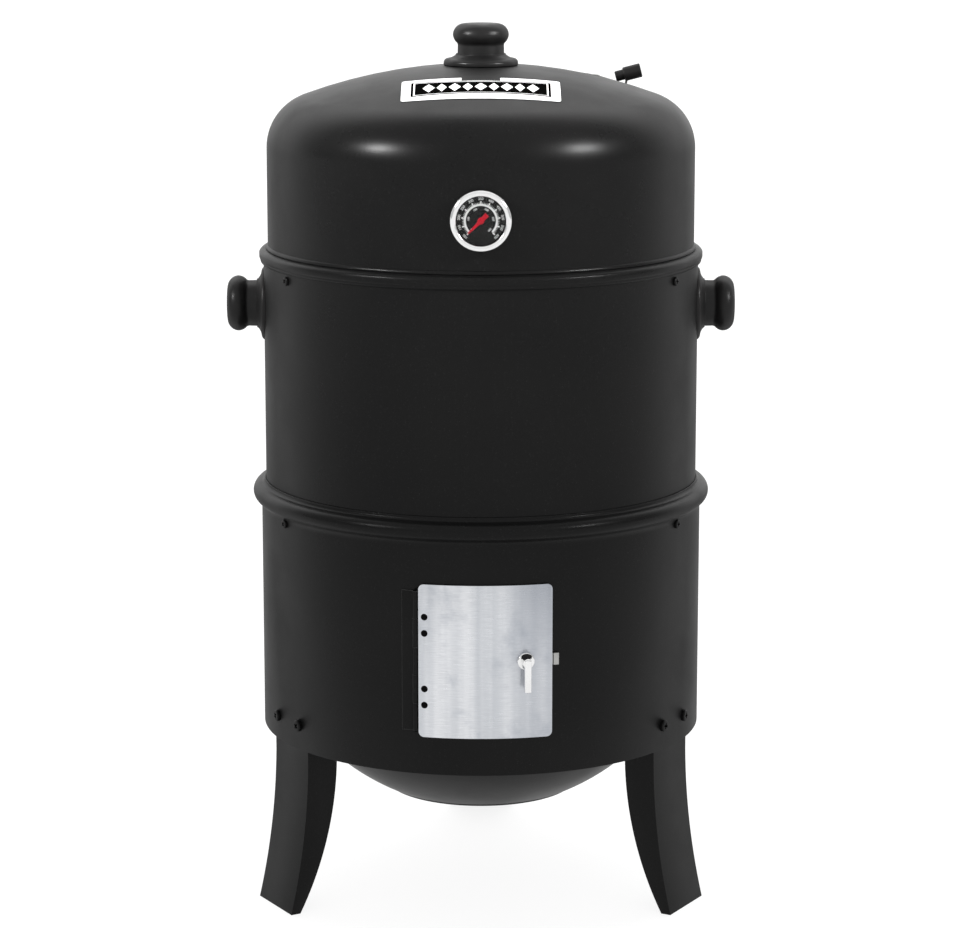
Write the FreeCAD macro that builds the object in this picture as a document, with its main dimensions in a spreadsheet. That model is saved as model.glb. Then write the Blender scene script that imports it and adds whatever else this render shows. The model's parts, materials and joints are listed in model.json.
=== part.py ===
import FreeCAD, Part

import math
import operator
import os

import Sketcher

# A vertical water smoker: a domed lid on an upper barrel, which stands in a lower barrel on three
# flared legs. The charcoal bowl hangs in the legs, the water pan and two grids on brackets inside.
# Millimetres. The origin is on the floor on the barrels' axis, +Z up, and the door faces -Y.
# Azimuths are degrees about +Z from the front (-Y) towards the right (+X).

Vector = FreeCAD.Vector
document = FreeCAD.newDocument("water_smoker")

DIMENSIONS = {
    # barrels
    "steel": 1.0,
    "upper_radius": 203.0,
    "upper_bottom": 376.0,
    "upper_top": 607.9,
    "rim_peak": 207.0,
    "rim_height": 13.8,
    "rim_round": 3.5,
    "rim_inside": 199.4,
    "lower_radius": 207.2,
    "lower_bottom": 154.5,
    "ring_middle": 380.2,
    "ring_top": 391.6,
    "ring_peak": 215.1,
    "ring_round": 8.4,
    "ring_fillet": 2.6,
    # lid
    "lid_radius": 199.0,
    "lid_skirt": 599.0,
    "lid_bead": 1.8,
    "lid_lip": 610.0,
    "lid_shoulder": 701.3,
    "lid_knuckle": 50.0,
    "lid_crown": 483.0,
    # knobs
    "knob_flange": 34.5,
    "knob_waist": 21.4,
    "knob_grip": 25.9,
    "knob_height": 38.5,
    "side_knob_level": 554.3,
    "side_knob_face": 237.3,
    # thermometer
    "gauge_level": 656.7,
    "gauge_radius": 27.25,
    "dial_radius": 21.8,
    "probe_length": 58.0,
    # badge
    "badge_width": 142.6,
    "badge_front": 139.0,
    "badge_depth": 57.0,
    "badge_bow": 6.2,
    "badge_thickness": 0.8,
    # damper
    "damper_radius": 26.0,
    "damper_azimuth": 133.0,
    "damper_distance": 150.0,
    "vent_radius": 6.5,
    "vent_circle": 17.0,
    # brackets and grids
    "bracket_azimuth": 60.0,
    "bracket_width": 24.0,
    "bracket_steel": 1.5,
    "upper_screw_level": 589.0,
    "upper_ledge": 575.5,
    "lower_screw_level": 364.5,
    "lower_ledge": 375.8,
    "pan_ledge": 359.8,
    "grid_radius": 190.5,
    "ring_wire": 5.0,
    "rod_wire": 3.2,
    "rod_pitch": 15.5,
    # water pan and charcoal bowl
    "pan_depth": 100.0,
    "pan_mouth": 173.0,
    "pan_floor": 95.0,
    "bowl_mouth": 190.0,
    "bowl_rim": 197.0,
    "bowl_top": 187.0,
    "bowl_bottom": 90.0,
    "bowl_floor": 88.0,
    "bowl_sphere": 215.0,
    # legs
    "leg_width": 66.0,
    "leg_face": 203.2,
    "leg_foot": 222.5,
    "leg_top": 186.2,
    "leg_steel": 1.2,
    "leg_depth": 30.0,
    "toe_depth": 9.6,
    "leg_screw_level": 177.4,
    "leg_screw_spread": 5.75,
    # fasteners
    "screw_radius": 2.4,
    "screw_hole": 2.6,
    "head_radius": 4.1,
    "leg_head_scale": 1.3,
    "head_height": 2.8,
    "nut_radius": 4.6,
    "nut_height": 3.6,
    # door, hinge and latch
    "door_left": -15.5,
    "door_right": 17.8,
    "door_bottom": 189.8,
    "door_height": 140.9,
    "door_corner": 5.0,
    "opening_left": -11.5,
    "opening_right": 14.3,
    "opening_margin": 8.0,
    "hinge_azimuth": -16.3,
    "hinge_radius": 209.7,
    "hinge_bottom": 195.2,
    "hinge_height": 129.2,
    "knuckle_radius": 2.0,
    "pin_radius": 1.0,
    "plate_left": -19.9,
    "rivet_azimuth": -14.0,
    "rivet_radius": 3.1,
    "latch_azimuth": 11.0,
    "latch_level": 261.3,
    "latch_front": 225.7,
    "latch_shaft": 3.0,
    "lever_width": 6.2,
    "lever_length": 27.0,
}

sheet = document.addObject("Spreadsheet::Sheet", "Sizes")
for row, (alias, number) in enumerate(DIMENSIONS.items(), start=1):
    sheet.set(f"A{row}", alias)
    sheet.set(f"B{row}", str(number))
    sheet.setAlias(f"B{row}", alias)
document.recompute()


class Size:
    """A number together with the sheet formula that it comes from."""

    def __init__(self, value, formula=None):
        self.value = float(value)
        self.formula = formula or f"({self.value!r})"

    def __add__(self, other):
        return combine(operator.add, "+", self, other)

    def __radd__(self, other):
        return combine(operator.add, "+", other, self)

    def __sub__(self, other):
        return combine(operator.sub, "-", self, other)

    def __rsub__(self, other):
        return combine(operator.sub, "-", other, self)

    def __mul__(self, other):
        return combine(operator.mul, "*", self, other)

    def __rmul__(self, other):
        return combine(operator.mul, "*", other, self)

    def __truediv__(self, other):
        return combine(operator.truediv, "/", self, other)

    def __neg__(self):
        return 0 - self


def as_size(number):
    return number if isinstance(number, Size) else Size(number)


def combine(action, sign, left, right):
    left = as_size(left)
    right = as_size(right)
    value = action(left.value, right.value)
    return Size(value, f"({left.formula} {sign} {right.formula})")


def root(size):
    return Size(math.sqrt(size.value), f"sqrt({size.formula})")


def sine(angle):
    angle = as_size(angle)
    return Size(math.sin(math.radians(angle.value)), f"sin({angle.formula})")


def cosine(angle):
    angle = as_size(angle)
    return Size(math.cos(math.radians(angle.value)), f"cos({angle.formula})")


def dim(alias):
    """One driving dimension of the sheet."""
    return Size(sheet.get(alias), f"Sizes.{alias}")


def bind(item, path, size):
    """Ties a property to the sheet; a path with dots is part of a placement."""
    size = as_size(size)
    if "." not in path:
        setattr(item, path, size.value)
    item.setExpression(path, size.formula)


# ---------------------------------------------------------------- ways of making a piece

pieces = []
counter = iter(range(1, 10000))


def keep(item, label):
    """Names a finished piece and puts it on the list of what is written out."""
    item.Label = label
    pieces.append(item)
    return item


def new_body(name):
    return document.addObject("PartDesign::Body", f"{name}_{next(counter)}")


def arc_between(start, end, radius):
    """The short arc from start to end: to the left of the way for a positive radius."""
    chord = end - start
    half = chord.Length / 2
    side = Vector(-chord.y, chord.x, 0).normalize() * math.copysign(1, radius)
    centre = (start + end) / 2 + side * math.sqrt(max(radius * radius - half * half, 0))
    first, last = (start, end) if radius > 0 else (end, start)
    angles = [math.atan2(point.y - centre.y, point.x - centre.x) for point in (first, last)]
    circle = Part.Circle(centre, Vector(0, 0, 1), abs(radius))
    return Part.ArcOfCircle(circle, angles[0], angles[1])


def outline(body, corners, plane, level=0):
    """A closed sketch. A corner is (x, y), or (x, y, radius) when the edge that ends there is an arc."""
    sketch = body.newObject("Sketcher::SketchObject", f"outline_{next(counter)}")
    sketch.AttachmentSupport = (next(f for f in body.Origin.OriginFeatures if f.Role == plane), [""])
    sketch.MapMode = "FlatFace"
    bind(sketch, "AttachmentOffset.Base.z", level)
    points = [Vector(as_size(corner[0]).value, as_size(corner[1]).value, 0) for corner in corners]
    ends = []
    for index, corner in enumerate(corners):
        start, end = points[index - 1], points[index]
        if len(corner) == 3:
            sketch.addGeometry(arc_between(start, end, as_size(corner[2]).value))
            ends.append((1, 2) if as_size(corner[2]).value > 0 else (2, 1))
        else:
            sketch.addGeometry(Part.LineSegment(start, end))
            ends.append((1, 2))
    for index, corner in enumerate(corners):
        following = (index + 1) % len(corners)
        here = ends[index][1]
        sketch.addConstraint(
            Sketcher.Constraint("Coincident", index, here, following, ends[following][0]))
        for kind, size, axis in (("DistanceX", corner[0], -2), ("DistanceY", corner[1], -1)):
            if as_size(size).value == 0:
                sketch.addConstraint(Sketcher.Constraint("PointOnObject", index, here, axis))
            else:
                dimension(sketch, Sketcher.Constraint(kind, -1, 1, index, here, as_size(size).value), size)
        if len(corner) == 3:
            radius = as_size(corner[2])
            radius = radius if radius.value > 0 else -radius
            dimension(sketch, Sketcher.Constraint("Radius", index, radius.value), radius)
    return sketch


def dimension(sketch, constraint, size):
    number = sketch.addConstraint(constraint)
    sketch.setExpression(f"Constraints[{number}]", as_size(size).formula)


def ring(body, radius, plane="XY_Plane", x=0, y=0, level=0):
    """A sketch that holds one circle."""
    sketch = body.newObject("Sketcher::SketchObject", f"circle_{next(counter)}")
    sketch.AttachmentSupport = (next(f for f in body.Origin.OriginFeatures if f.Role == plane), [""])
    sketch.MapMode = "FlatFace"
    bind(sketch, "AttachmentOffset.Base.z", level)
    bind(sketch, "AttachmentOffset.Base.x", x)
    bind(sketch, "AttachmentOffset.Base.y", y)
    sketch.addGeometry(Part.Circle(Vector(0, 0, 0), Vector(0, 0, 1), as_size(radius).value))
    sketch.addConstraint(Sketcher.Constraint("Coincident", 0, 3, -1, 1))
    dimension(sketch, Sketcher.Constraint("Radius", 0, as_size(radius).value), radius)
    return sketch


def extrude(body, sketch, length, kind="Pad", both_ways=False, backwards=False):
    feature = body.newObject(f"PartDesign::{kind}", f"{kind.lower()}_{next(counter)}")
    feature.Profile = sketch
    if both_ways:
        feature.SideType = "Symmetric"
    feature.Reversed = backwards
    bind(feature, "Length", length)
    document.recompute()
    return feature


def lathe(name, corners):
    """A turned piece: the corners are (distance from the axis, height along it)."""
    body = new_body(name)
    sketch = outline(body, corners, "XZ_Plane")
    turned = body.newObject("PartDesign::Revolution", f"turned_{next(counter)}")
    turned.Profile = sketch
    turned.ReferenceAxis = (sketch, ["V_Axis"])
    turned.Angle = 360
    document.recompute()
    return body


def disc(name, radius, height, hole=None, level=0):
    corners = [(0, level), (radius, level), (radius, level + height), (0, level + height)]
    if hole is not None:
        corners[0] = (hole, level)
        corners[3] = (hole, level + height)
    return lathe(name, corners)


def sector(inner, outer, start, end):
    """The corners of a slice of a ring, seen from above, between two azimuths."""
    return [
        (inner * sine(start), -inner * cosine(start), -inner),
        (outer * sine(start), -outer * cosine(start)),
        (outer * sine(end), -outer * cosine(end), outer),
        (inner * sine(end), -inner * cosine(end)),
    ]


def place(item, azimuth=0, radius=0, level=0, rotation=None):
    """Puts a piece at an azimuth, a distance from the axis and a level.

    With no rotation given, the piece's own +Z points outwards along the azimuth.
    """
    azimuth = as_size(azimuth)
    item.Placement = FreeCAD.Placement(Vector(), rotation or outwards(azimuth))
    bind(item, "Placement.Base.x", radius * sine(azimuth))
    bind(item, "Placement.Base.y", -as_size(radius) * cosine(azimuth))
    bind(item, "Placement.Base.z", level)
    return item


def outwards(azimuth):
    return FreeCAD.Rotation(as_size(azimuth).value, 0, 90)


def facing(azimuth):
    """Turns a piece whose own +X is its outward direction."""
    return FreeCAD.Rotation(as_size(azimuth).value - 90, 0, 0)


def group(name, master, spots):
    """Copies of one master piece, kept together as separate solids."""
    links = []
    for spot in spots:
        link = document.addObject("App::Link", f"{name}_{next(counter)}")
        link.LinkedObject = master
        place(link, *spot)
        links.append(link)
    compound = document.addObject("Part::Compound", f"{name}_{next(counter)}")
    compound.Links = links
    return keep(compound, name)


def hole(radius, length, azimuth=0, distance=0, level=0, rotation=None):
    """A round cutter; its own +Z points outwards unless it is turned another way."""
    cutter = document.addObject("Part::Cylinder", f"hole_{next(counter)}")
    bind(cutter, "Radius", radius)
    bind(cutter, "Height", length)
    return place(cutter, azimuth, distance, level, rotation)


def join(kind, name, base, tools):
    """A boolean of a base with several tools: kind is Cut or Common."""
    result = document.addObject(f"Part::{kind}", f"{name}_{next(counter)}")
    result.Base = base
    if len(tools) == 1:
        result.Tool = tools[0]
    else:
        result.Tool = document.addObject("Part::Compound", f"{name}_tools_{next(counter)}")
        result.Tool.Links = tools
    return result


def round_edges(body, radius, chosen):
    """Rounds the edges of the last feature that the test picks out."""
    base = body.Tip
    names = [f"Edge{n}" for n, edge in enumerate(base.Shape.Edges, start=1) if chosen(edge)]
    fillet = body.newObject("PartDesign::Fillet", f"fillet_{next(counter)}")
    fillet.Base = (base, names)
    bind(fillet, "Radius", radius)
    document.recompute()
    return fillet


def sweep(rise, run):
    """The radius of an arc that starts along its run and has risen by rise at its end."""
    return (rise * rise + run * run) / (2 * rise)


steel = dim("steel")
bracket_azimuths = {"left": -dim("bracket_azimuth"), "right": dim("bracket_azimuth"), "rear": as_size(180)}


# ---------------------------------------------------------------- fasteners

def screw(name, length, scale=1.0):
    """A pan-head screw with its head's seat at height 0 and its shank along -Z; scale is its head's."""
    head = dim("head_radius") * scale
    top = dim("head_height") * scale
    recess = 1.2
    return lathe(name, [
        (0, -length),
        (dim("screw_radius"), -length),
        (dim("screw_radius"), 0),
        (head, 0),
        (head, top * 0.5),
        (recess, top, head * 1.15),
        (recess * 0.6, top * 0.6),
        (0, top * 0.6),
    ])


def nut(name):
    """A hexagon nut that stands on height 0 and rises along +Z."""
    body = new_body(name)
    radius = dim("nut_radius")
    corners = [(radius * cosine(60 * side), radius * sine(60 * side)) for side in range(6)]
    extrude(body, outline(body, corners, "XY_Plane"), dim("nut_height"))
    extrude(body, ring(body, dim("screw_radius")), dim("nut_height"), "Pocket", backwards=True)
    return body


def bolted(name, azimuths, radius, length, level, nut_radius, scale=1.0):
    """Screws through a barrel from outside, with their nuts inside."""
    group(f"{name}_screws", screw("screw", length, scale), [(a, radius, level) for a in azimuths])
    group(f"{name}_nuts", nut("nut"), [(a, nut_radius - dim("nut_height"), level) for a in azimuths])


# ---------------------------------------------------------------- lid

def crown_point(offset):
    """Where knuckle and crown meet, and the crown's top, for a surface this far inside the lid's."""
    knuckle = dim("lid_knuckle")
    crown = dim("lid_crown")
    reach = dim("lid_radius") - knuckle
    between = crown - knuckle
    centre = dim("lid_shoulder") - root(between * between - reach * reach)
    scale = (crown - offset) / between
    return reach * scale, centre + root(between * between - reach * reach) * scale, centre + crown - offset


def make_lid_shell():
    radius = dim("lid_radius")
    inside = radius - steel
    skirt = dim("lid_skirt")
    lip = dim("lid_lip")
    bead = dim("lid_bead")
    shoulder = dim("lid_shoulder")
    knuckle = dim("lid_knuckle")
    crown = dim("lid_crown")
    tangent_x, tangent_z, top = crown_point(0)
    inner_x, inner_z, inner_top = crown_point(steel)
    shell = lathe("lid_shell", [
        (radius, skirt),
        (radius, lip - bead),
        (radius + bead, lip, bead),
        (radius, lip + bead, bead),
        (radius, shoulder),
        (tangent_x, tangent_z, knuckle),
        (0, top, crown),
        (0, inner_top),
        (inner_x, inner_z, steel - crown),
        (inside, shoulder, steel - knuckle),
        (inside, skirt),
    ])
    through = 20
    stem_hole = 4.2
    cuts = damper_vents() + [
        hole(dim("screw_hole"), through, 0, 0, top - through / 2, FreeCAD.Rotation()),
        hole(stem_hole, through / 2, 0, radius - through / 4, dim("gauge_level")),
        on_damper(hole(dim("screw_hole"), through, rotation=FreeCAD.Rotation()), -through / 2),
    ]
    keep(join("Cut", "lid_shell", shell, cuts), "lid_shell")


def damper_frame():
    """The place on the crown where the damper's axis leaves it."""
    tilt = math.degrees(math.asin(dim("damper_distance").value / dim("lid_crown").value))
    turn = FreeCAD.Rotation(dim("damper_azimuth").value - 90, 0, 0)
    lean = FreeCAD.Rotation(Vector(0, 1, 0), tilt)
    return turn.multiply(lean)


def on_damper(item, lift=0, offset=0, angle=0, turn=0):
    """Puts a piece in the damper's own frame: lift along its axis, offset at an angle round it."""
    frame = damper_frame()
    crown = dim("lid_crown")
    distance = dim("damper_distance")
    centre = crown_point(0)[2] - crown + root(crown * crown - distance * distance)
    angle = as_size(angle)
    offset = as_size(offset).value
    local = Vector(offset * cosine(angle).value, offset * sine(angle).value, lift)
    shift = frame.multVec(local)
    item.Placement = FreeCAD.Placement(Vector(), frame.multiply(FreeCAD.Rotation(Vector(0, 0, 1), turn)))
    bind(item, "Placement.Base.x", distance * sine(dim("damper_azimuth")) + shift.x)
    bind(item, "Placement.Base.y", -distance * cosine(dim("damper_azimuth")) + shift.y)
    bind(item, "Placement.Base.z", centre + shift.z)
    return item


def knob_corners():
    """The knob's outline, from its flange on the metal to its rounded end."""
    flange = dim("knob_flange")
    waist = dim("knob_waist")
    grip = dim("knob_grip")
    height = dim("knob_height")
    return [
        (0, 0),
        (flange, 0),
        (flange, 2.4),
        (flange - 3.0, 6.4, 3.8),
        (waist + 1.8, 10.6, -14),
        (waist, 18.0),
        (waist + 1.6, 21.6, -4.0),
        (grip, height - 10.2, 11),
        (grip - 10.5, height, 10.4),
        (0, height),
    ]


KNOB_HOLE_DEPTH = 20


def make_lid_knob():
    top = crown_point(0)[2]
    seat = top - 1.4
    knob = place(lathe("lid_knob", knob_corners()), 0, 0, seat, FreeCAD.Rotation())
    dome = document.addObject("Part::Sphere", "crown_ball")
    bind(dome, "Radius", dim("lid_crown"))
    bind(dome, "Placement.Base.z", top - dim("lid_crown"))
    bore = hole(dim("screw_radius"), KNOB_HOLE_DEPTH, 0, 0, seat, FreeCAD.Rotation())
    keep(join("Cut", "lid_knob", knob, [dome, bore]), "lid_knob")
    washer_thickness = 1.2
    inside = top - steel - 0.1
    washer = disc("lid_knob_washer", 8, washer_thickness, dim("screw_hole"))
    keep(place(washer, 0, 0, inside - washer_thickness, FreeCAD.Rotation()), "lid_knob_washer")
    fastener = screw("lid_knob_screw", 18)
    upside_down = FreeCAD.Rotation(Vector(1, 0, 0), 180)
    keep(place(fastener, 0, 0, inside - washer_thickness, upside_down), "lid_knob_screw")


def make_badge():
    """A plain plate that follows the crown: its long edges bow, and a notch clears the knob."""
    half = dim("badge_width") / 2
    bow = dim("badge_bow")
    front = bow - dim("badge_front")
    back = front + dim("badge_depth")
    lean = 0.8
    corner = 3
    lift = 0.1
    body = new_body("badge_plate")
    sketch = outline(body, [
        (-half, front),
        (half, front, sweep(bow, half)),
        (half - lean, back),
        (lean - half, back, -sweep(bow, half - lean)),
    ], "XY_Plane", dim("lid_shoulder"))
    extrude(body, sketch, 100)
    round_edges(body, corner, lambda edge: abs(edge.Vertexes[0].Z - edge.Vertexes[-1].Z) > 50)
    notch_half, notch_depth = 17.5, 9.5
    middle = back - bow
    notch = outline(body, [
        (-notch_half, middle - notch_depth),
        (notch_half, middle - notch_depth),
        (notch_half, back),
        (-notch_half, back),
    ], "XY_Plane", dim("lid_shoulder"))
    extrude(body, notch, 100, "Pocket", backwards=True)
    crown = dim("lid_crown")
    balls = []
    for rise in (lift + dim("badge_thickness"), lift):
        ball = document.addObject("Part::Sphere", f"badge_ball_{next(counter)}")
        bind(ball, "Radius", crown + rise)
        bind(ball, "Placement.Base.z", crown_point(0)[2] - crown)
        balls.append(ball)
    skin = join("Cut", "badge_skin", balls[0], [balls[1]])
    keep(join("Common", "badge_plate", skin, [body]), "badge_plate")


# ---------------------------------------------------------------- thermometer

def make_thermometer():
    """All its pieces are turned about the axis that points forward; height 0 is the lid's axis."""
    level = dim("gauge_level")
    lid = dim("lid_radius")
    rim = dim("gauge_radius")
    dial = dim("dial_radius")
    can = rim - 1.4
    back = lid + 0.3
    front = back + 12
    stem = 2.5
    neck = 4.0

    def fit(body, label):
        return keep(place(body, 0, 0, level), label)

    fit(lathe("thermometer_case", [
        (neck + 0.1, back), (can, back), (can, front - 1.6), (can - 1, front - 1.6), (can - 1, back + 1),
        (neck + 0.1, back + 1)]), "thermometer_case")
    fit(lathe("thermometer_bezel", [
        (can + 0.05, back + 2), (rim, back + 2), (rim, front - 1.6), (rim - 1.6, front, 1.6),
        (dial + 1.6, front), (dial, front - 1.5), (can + 0.05, front - 1.5)]), "thermometer_bezel")
    fit(disc("thermometer_lens", can - 1.1, 1.5, None, front - 3.1), "thermometer_lens")
    fit(disc("thermometer_dial", can - 1.1, 0.8, 1.05, front - 6.4), "thermometer_dial")
    probe_end = lid - dim("probe_length")
    fit(lathe("thermometer_stem", [
        (0, probe_end), (stem, probe_end), (stem, lid - 14), (neck, lid - 13), (neck, back + 3),
        (stem - 0.5, back + 3), (stem - 0.5, probe_end + 1), (0, probe_end + 1)]), "thermometer_stem")
    fit(disc("thermometer_nut", 8, 3.5, neck, lid - steel - 5.2), "thermometer_nut")
    coil = new_body("thermometer_coil")
    helix = coil.newObject("PartDesign::AdditiveHelix", "bimetal_turns")
    wire = ring(coil, 0.35, "XZ_Plane", 1.4)
    helix.Profile = wire
    helix.ReferenceAxis = (coil.Origin.OriginFeatures[2], [""])
    helix.Mode = "pitch-height-angle"
    helix.Pitch = 2.5
    helix.Height = 30
    document.recompute()
    fit(coil, "thermometer_coil")
    bind(coil, "Placement.Base.y", -(probe_end + 3))

    needle = new_body("thermometer_needle")
    seat = front - 5.3
    needle_steel = 0.6
    pointer = [(-2.2, -7.8), (2.2, -7.8), (0.6, 15.7), (-0.6, 15.7)]
    extrude(needle, outline(needle, pointer, "XY_Plane", seat), needle_steel)
    extrude(needle, ring(needle, 3.0, level=seat), needle_steel)
    extrude(needle, ring(needle, 1.0, level=back + 1), seat - back - 0.8)
    pointing_low = FreeCAD.Rotation(Vector(1, 0, 0), 90)
    pointing_low = pointing_low.multiply(FreeCAD.Rotation(Vector(0, 0, 1), 135))
    keep(place(needle, 0, 0, level, pointing_low), "thermometer_needle")


# ---------------------------------------------------------------- damper

def damper_vents():
    """Cutters for the three vents that the damper's plate covers or uncovers."""
    depth = 20
    vents = [hole(dim("vent_radius"), depth, rotation=FreeCAD.Rotation()) for _ in range(3)]
    return [on_damper(vent, -depth / 2, dim("vent_circle"), 120 * n) for n, vent in enumerate(vents)]


def make_damper():
    """A round plate turns on a rivet over three vents; a bent handle carries its grip."""
    plate_steel = 1.2
    plate_seat = 0.5
    handle_steel = 1.5
    plate = disc("damper_disc", dim("damper_radius"), plate_steel, dim("screw_hole"), plate_seat)
    keep(join("Cut", "damper_disc", on_damper(plate), damper_vents()), "damper_disc")

    handle_seat = plate_seat + plate_steel
    handle_angle = -50
    width = 8
    reach = 29
    tab_top = handle_seat + 14
    inner_face = reach - handle_steel / 2
    outer_face = reach + handle_steel / 2
    handle = new_body("damper_handle")
    side = outline(handle, [
        (-width / 2, handle_seat),
        (outer_face, handle_seat),
        (outer_face, tab_top),
        (inner_face, tab_top),
        (inner_face, handle_seat + handle_steel),
        (-width / 2, handle_seat + handle_steel),
    ], "XZ_Plane")
    extrude(handle, side, width, both_ways=True)
    extrude(handle, ring(handle, dim("screw_hole")), 10, "Pocket", backwards=True)
    keep(on_damper(handle, turn=handle_angle), "damper_handle")
    make_damper_grip(handle_seat, handle_angle, inner_face, outer_face, width, tab_top)

    washer_steel = 0.6
    washer_rise = 0.5
    washer_seat = handle_seat + handle_steel + 0.1
    washer = lathe("damper_spring_washer", [
        (dim("screw_hole"), washer_seat + washer_rise),
        (6, washer_seat),
        (6, washer_seat + washer_steel),
        (dim("screw_hole"), washer_seat + washer_rise + washer_steel),
    ])
    keep(on_damper(washer), "damper_spring_washer")
    head_seat = washer_seat + washer_rise + washer_steel + 0.1
    shank = dim("screw_hole") - 0.05
    tail = -1.4
    rivet = lathe("damper_rivet", [
        (0, tail - 2.2),
        (4.5, tail - 2.2),
        (4.5, tail),
        (shank, tail),
        (shank, head_seat),
        (4.6, head_seat),
        (1.5, head_seat + 2.2, 4.2),
        (0, head_seat + 2.2),
    ])
    keep(on_damper(rivet), "damper_rivet")


def make_damper_grip(handle_seat, handle_angle, inner_face, outer_face, width, tab_top):
    """A stepped grip pushed on the handle's tab, leaning upwards to its thicker end."""
    lift = handle_seat + 12.0
    tilt = 27
    thick, thin = 6.7, 5.0
    end, step = 12.6, -4.5
    edge = 1.2
    grip = lathe("damper_grip", [
        (0, -end),
        (thin - edge, -end),
        (thin, edge - end, edge),
        (thin, step),
        (thick - edge, step),
        (thick, step + edge, edge),
        (thick, end - edge),
        (thick - edge, end, edge),
        (0, end),
    ])
    along = FreeCAD.Rotation(Vector(0, 0, 1), handle_angle)
    along = along.multiply(FreeCAD.Rotation(Vector(0, 1, 0), 90 - tilt))
    on_damper(grip, lift, (inner_face + outer_face) / 2, handle_angle)
    grip.Placement.Rotation = damper_frame().multiply(along)
    gap = 0.1
    slot = new_body("grip_slot")
    sides = [
        (inner_face - gap, -width / 2 - gap),
        (outer_face + gap, -width / 2 - gap),
        (outer_face + gap, width / 2 + gap),
        (inner_face - gap, width / 2 + gap),
    ]
    extrude(slot, outline(slot, sides, "XY_Plane"), tab_top + 0.5)
    on_damper(slot, turn=handle_angle)
    keep(join("Cut", "damper_grip", grip, [slot]), "damper_grip")


# ---------------------------------------------------------------- barrels

def make_upper_barrel():
    """Its rim is rolled outwards, and turned in at the top, where the lid's bead rests."""
    radius = dim("upper_radius")
    inside = radius - steel
    bottom = dim("upper_bottom")
    top = dim("upper_top")
    peak = dim("rim_peak")
    rounding = dim("rim_round")
    low = top - dim("rim_height")
    barrel = lathe("upper_barrel", [
        (radius, bottom),
        (radius, low),
        (peak - rounding, low),
        (peak, low + rounding, rounding),
        (peak, top - rounding),
        (peak - rounding, top, rounding),
        (dim("rim_inside"), top),
        (dim("rim_inside"), top - steel),
        (peak - rounding, top - steel),
        (peak - steel, top - rounding, steel - rounding),
        (peak - steel, low + rounding),
        (peak - rounding, low + steel, steel - rounding),
        (inside, low + steel),
        (inside, bottom),
    ])
    cuts = wall_holes(bracket_azimuths.values(), inside, dim("upper_screw_level"))
    cuts += wall_holes((-90, 90), inside, dim("side_knob_level"))
    keep(join("Cut", "upper_barrel", barrel, cuts), "upper_barrel")


def wall_holes(azimuths, inside, level):
    """Cutters for the screw holes through a barrel's wall."""
    length = 10
    return [hole(dim("screw_hole"), length, azimuth, inside - 4, level) for azimuth in azimuths]


def make_side_knobs():
    radius = dim("upper_radius")
    seat = dim("side_knob_face") - dim("knob_height")
    wall = document.addObject("Part::Cylinder", "barrel_wall")
    bind(wall, "Radius", radius + 0.1)
    bind(wall, "Height", 200)
    bind(wall, "Placement.Base.z", dim("side_knob_level") - 100)
    for side, azimuth in (("left", -90), ("right", 90)):
        knob = place(lathe("side_knob", knob_corners()), azimuth, seat, dim("side_knob_level"))
        bore = hole(dim("screw_radius"), KNOB_HOLE_DEPTH, azimuth, seat, dim("side_knob_level"))
        keep(join("Cut", f"side_knob_{side}", knob, [wall, bore]), f"side_knob_{side}")
    washer_thickness = 1.2
    inside = radius - steel - 0.2
    fastener = screw("side_screw", 16)
    turned = [(-90, -(inside - washer_thickness), dim("side_knob_level")),
              (90, -(inside - washer_thickness), dim("side_knob_level"))]
    group("side_knob_screws", fastener, turned)
    group("side_knob_washers", disc("side_washer", 6, washer_thickness, dim("screw_hole")),
          [(azimuth, inside - washer_thickness, dim("side_knob_level")) for azimuth in (-90, 90)])


def make_lower_barrel():
    """A round bead and a short collar at its top take the upper barrel."""
    radius = dim("lower_radius")
    bead = dim("ring_round")
    fillet = dim("ring_fillet")
    middle = dim("ring_middle")
    centre = dim("ring_peak") - bead
    collar = dim("upper_radius") + 0.4 + steel
    apart = bead + fillet

    def fillet_height(wall):
        """How far above or below the bead's middle the centre of a fillet beside a wall is."""
        reach = wall + fillet - centre
        return root(apart * apart - reach * reach)

    def meeting(wall, up, thickness):
        """Where the bead's surface, a thickness inside its outer one, meets the fillet beside a wall."""
        share = (bead - thickness) / apart
        return centre + (wall + fillet - centre) * share, middle + up * fillet_height(wall) * share

    foot = middle - fillet_height(radius)
    neck = middle + fillet_height(collar)
    barrel = lathe("lower_barrel", [
        (radius, dim("lower_bottom")),
        (radius, foot),
        (*meeting(radius, -1, 0), -fillet),
        (*meeting(collar, 1, 0), bead),
        (collar, neck, -fillet),
        (collar, dim("ring_top")),
        (collar - steel, dim("ring_top")),
        (collar - steel, neck),
        (*meeting(collar, 1, steel), fillet + steel),
        (*meeting(radius, -1, steel), steel - bead),
        (radius - steel, foot, fillet + steel),
        (radius - steel, dim("lower_bottom")),
    ])
    cutters = wall_holes(bracket_azimuths.values(), radius - steel, dim("lower_screw_level"))
    cutters += wall_holes(leg_screw_azimuths(), radius - steel, dim("leg_screw_level"))
    margin = dim("opening_margin")
    clear = 10
    opening = new_body("door_opening")
    profile = sector(radius - clear, radius + clear, dim("opening_left"), dim("opening_right"))
    extrude(opening, outline(opening, profile, "XY_Plane", dim("door_bottom") + margin),
            dim("door_height") - 2 * margin)
    keep(join("Cut", "lower_barrel", barrel, cutters + [opening]), "lower_barrel")


def leg_screw_azimuths():
    spread = dim("leg_screw_spread")
    return [azimuth + side * spread for azimuth in bracket_azimuths.values() for side in (-1, 1)]


# ---------------------------------------------------------------- brackets and grids

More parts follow.
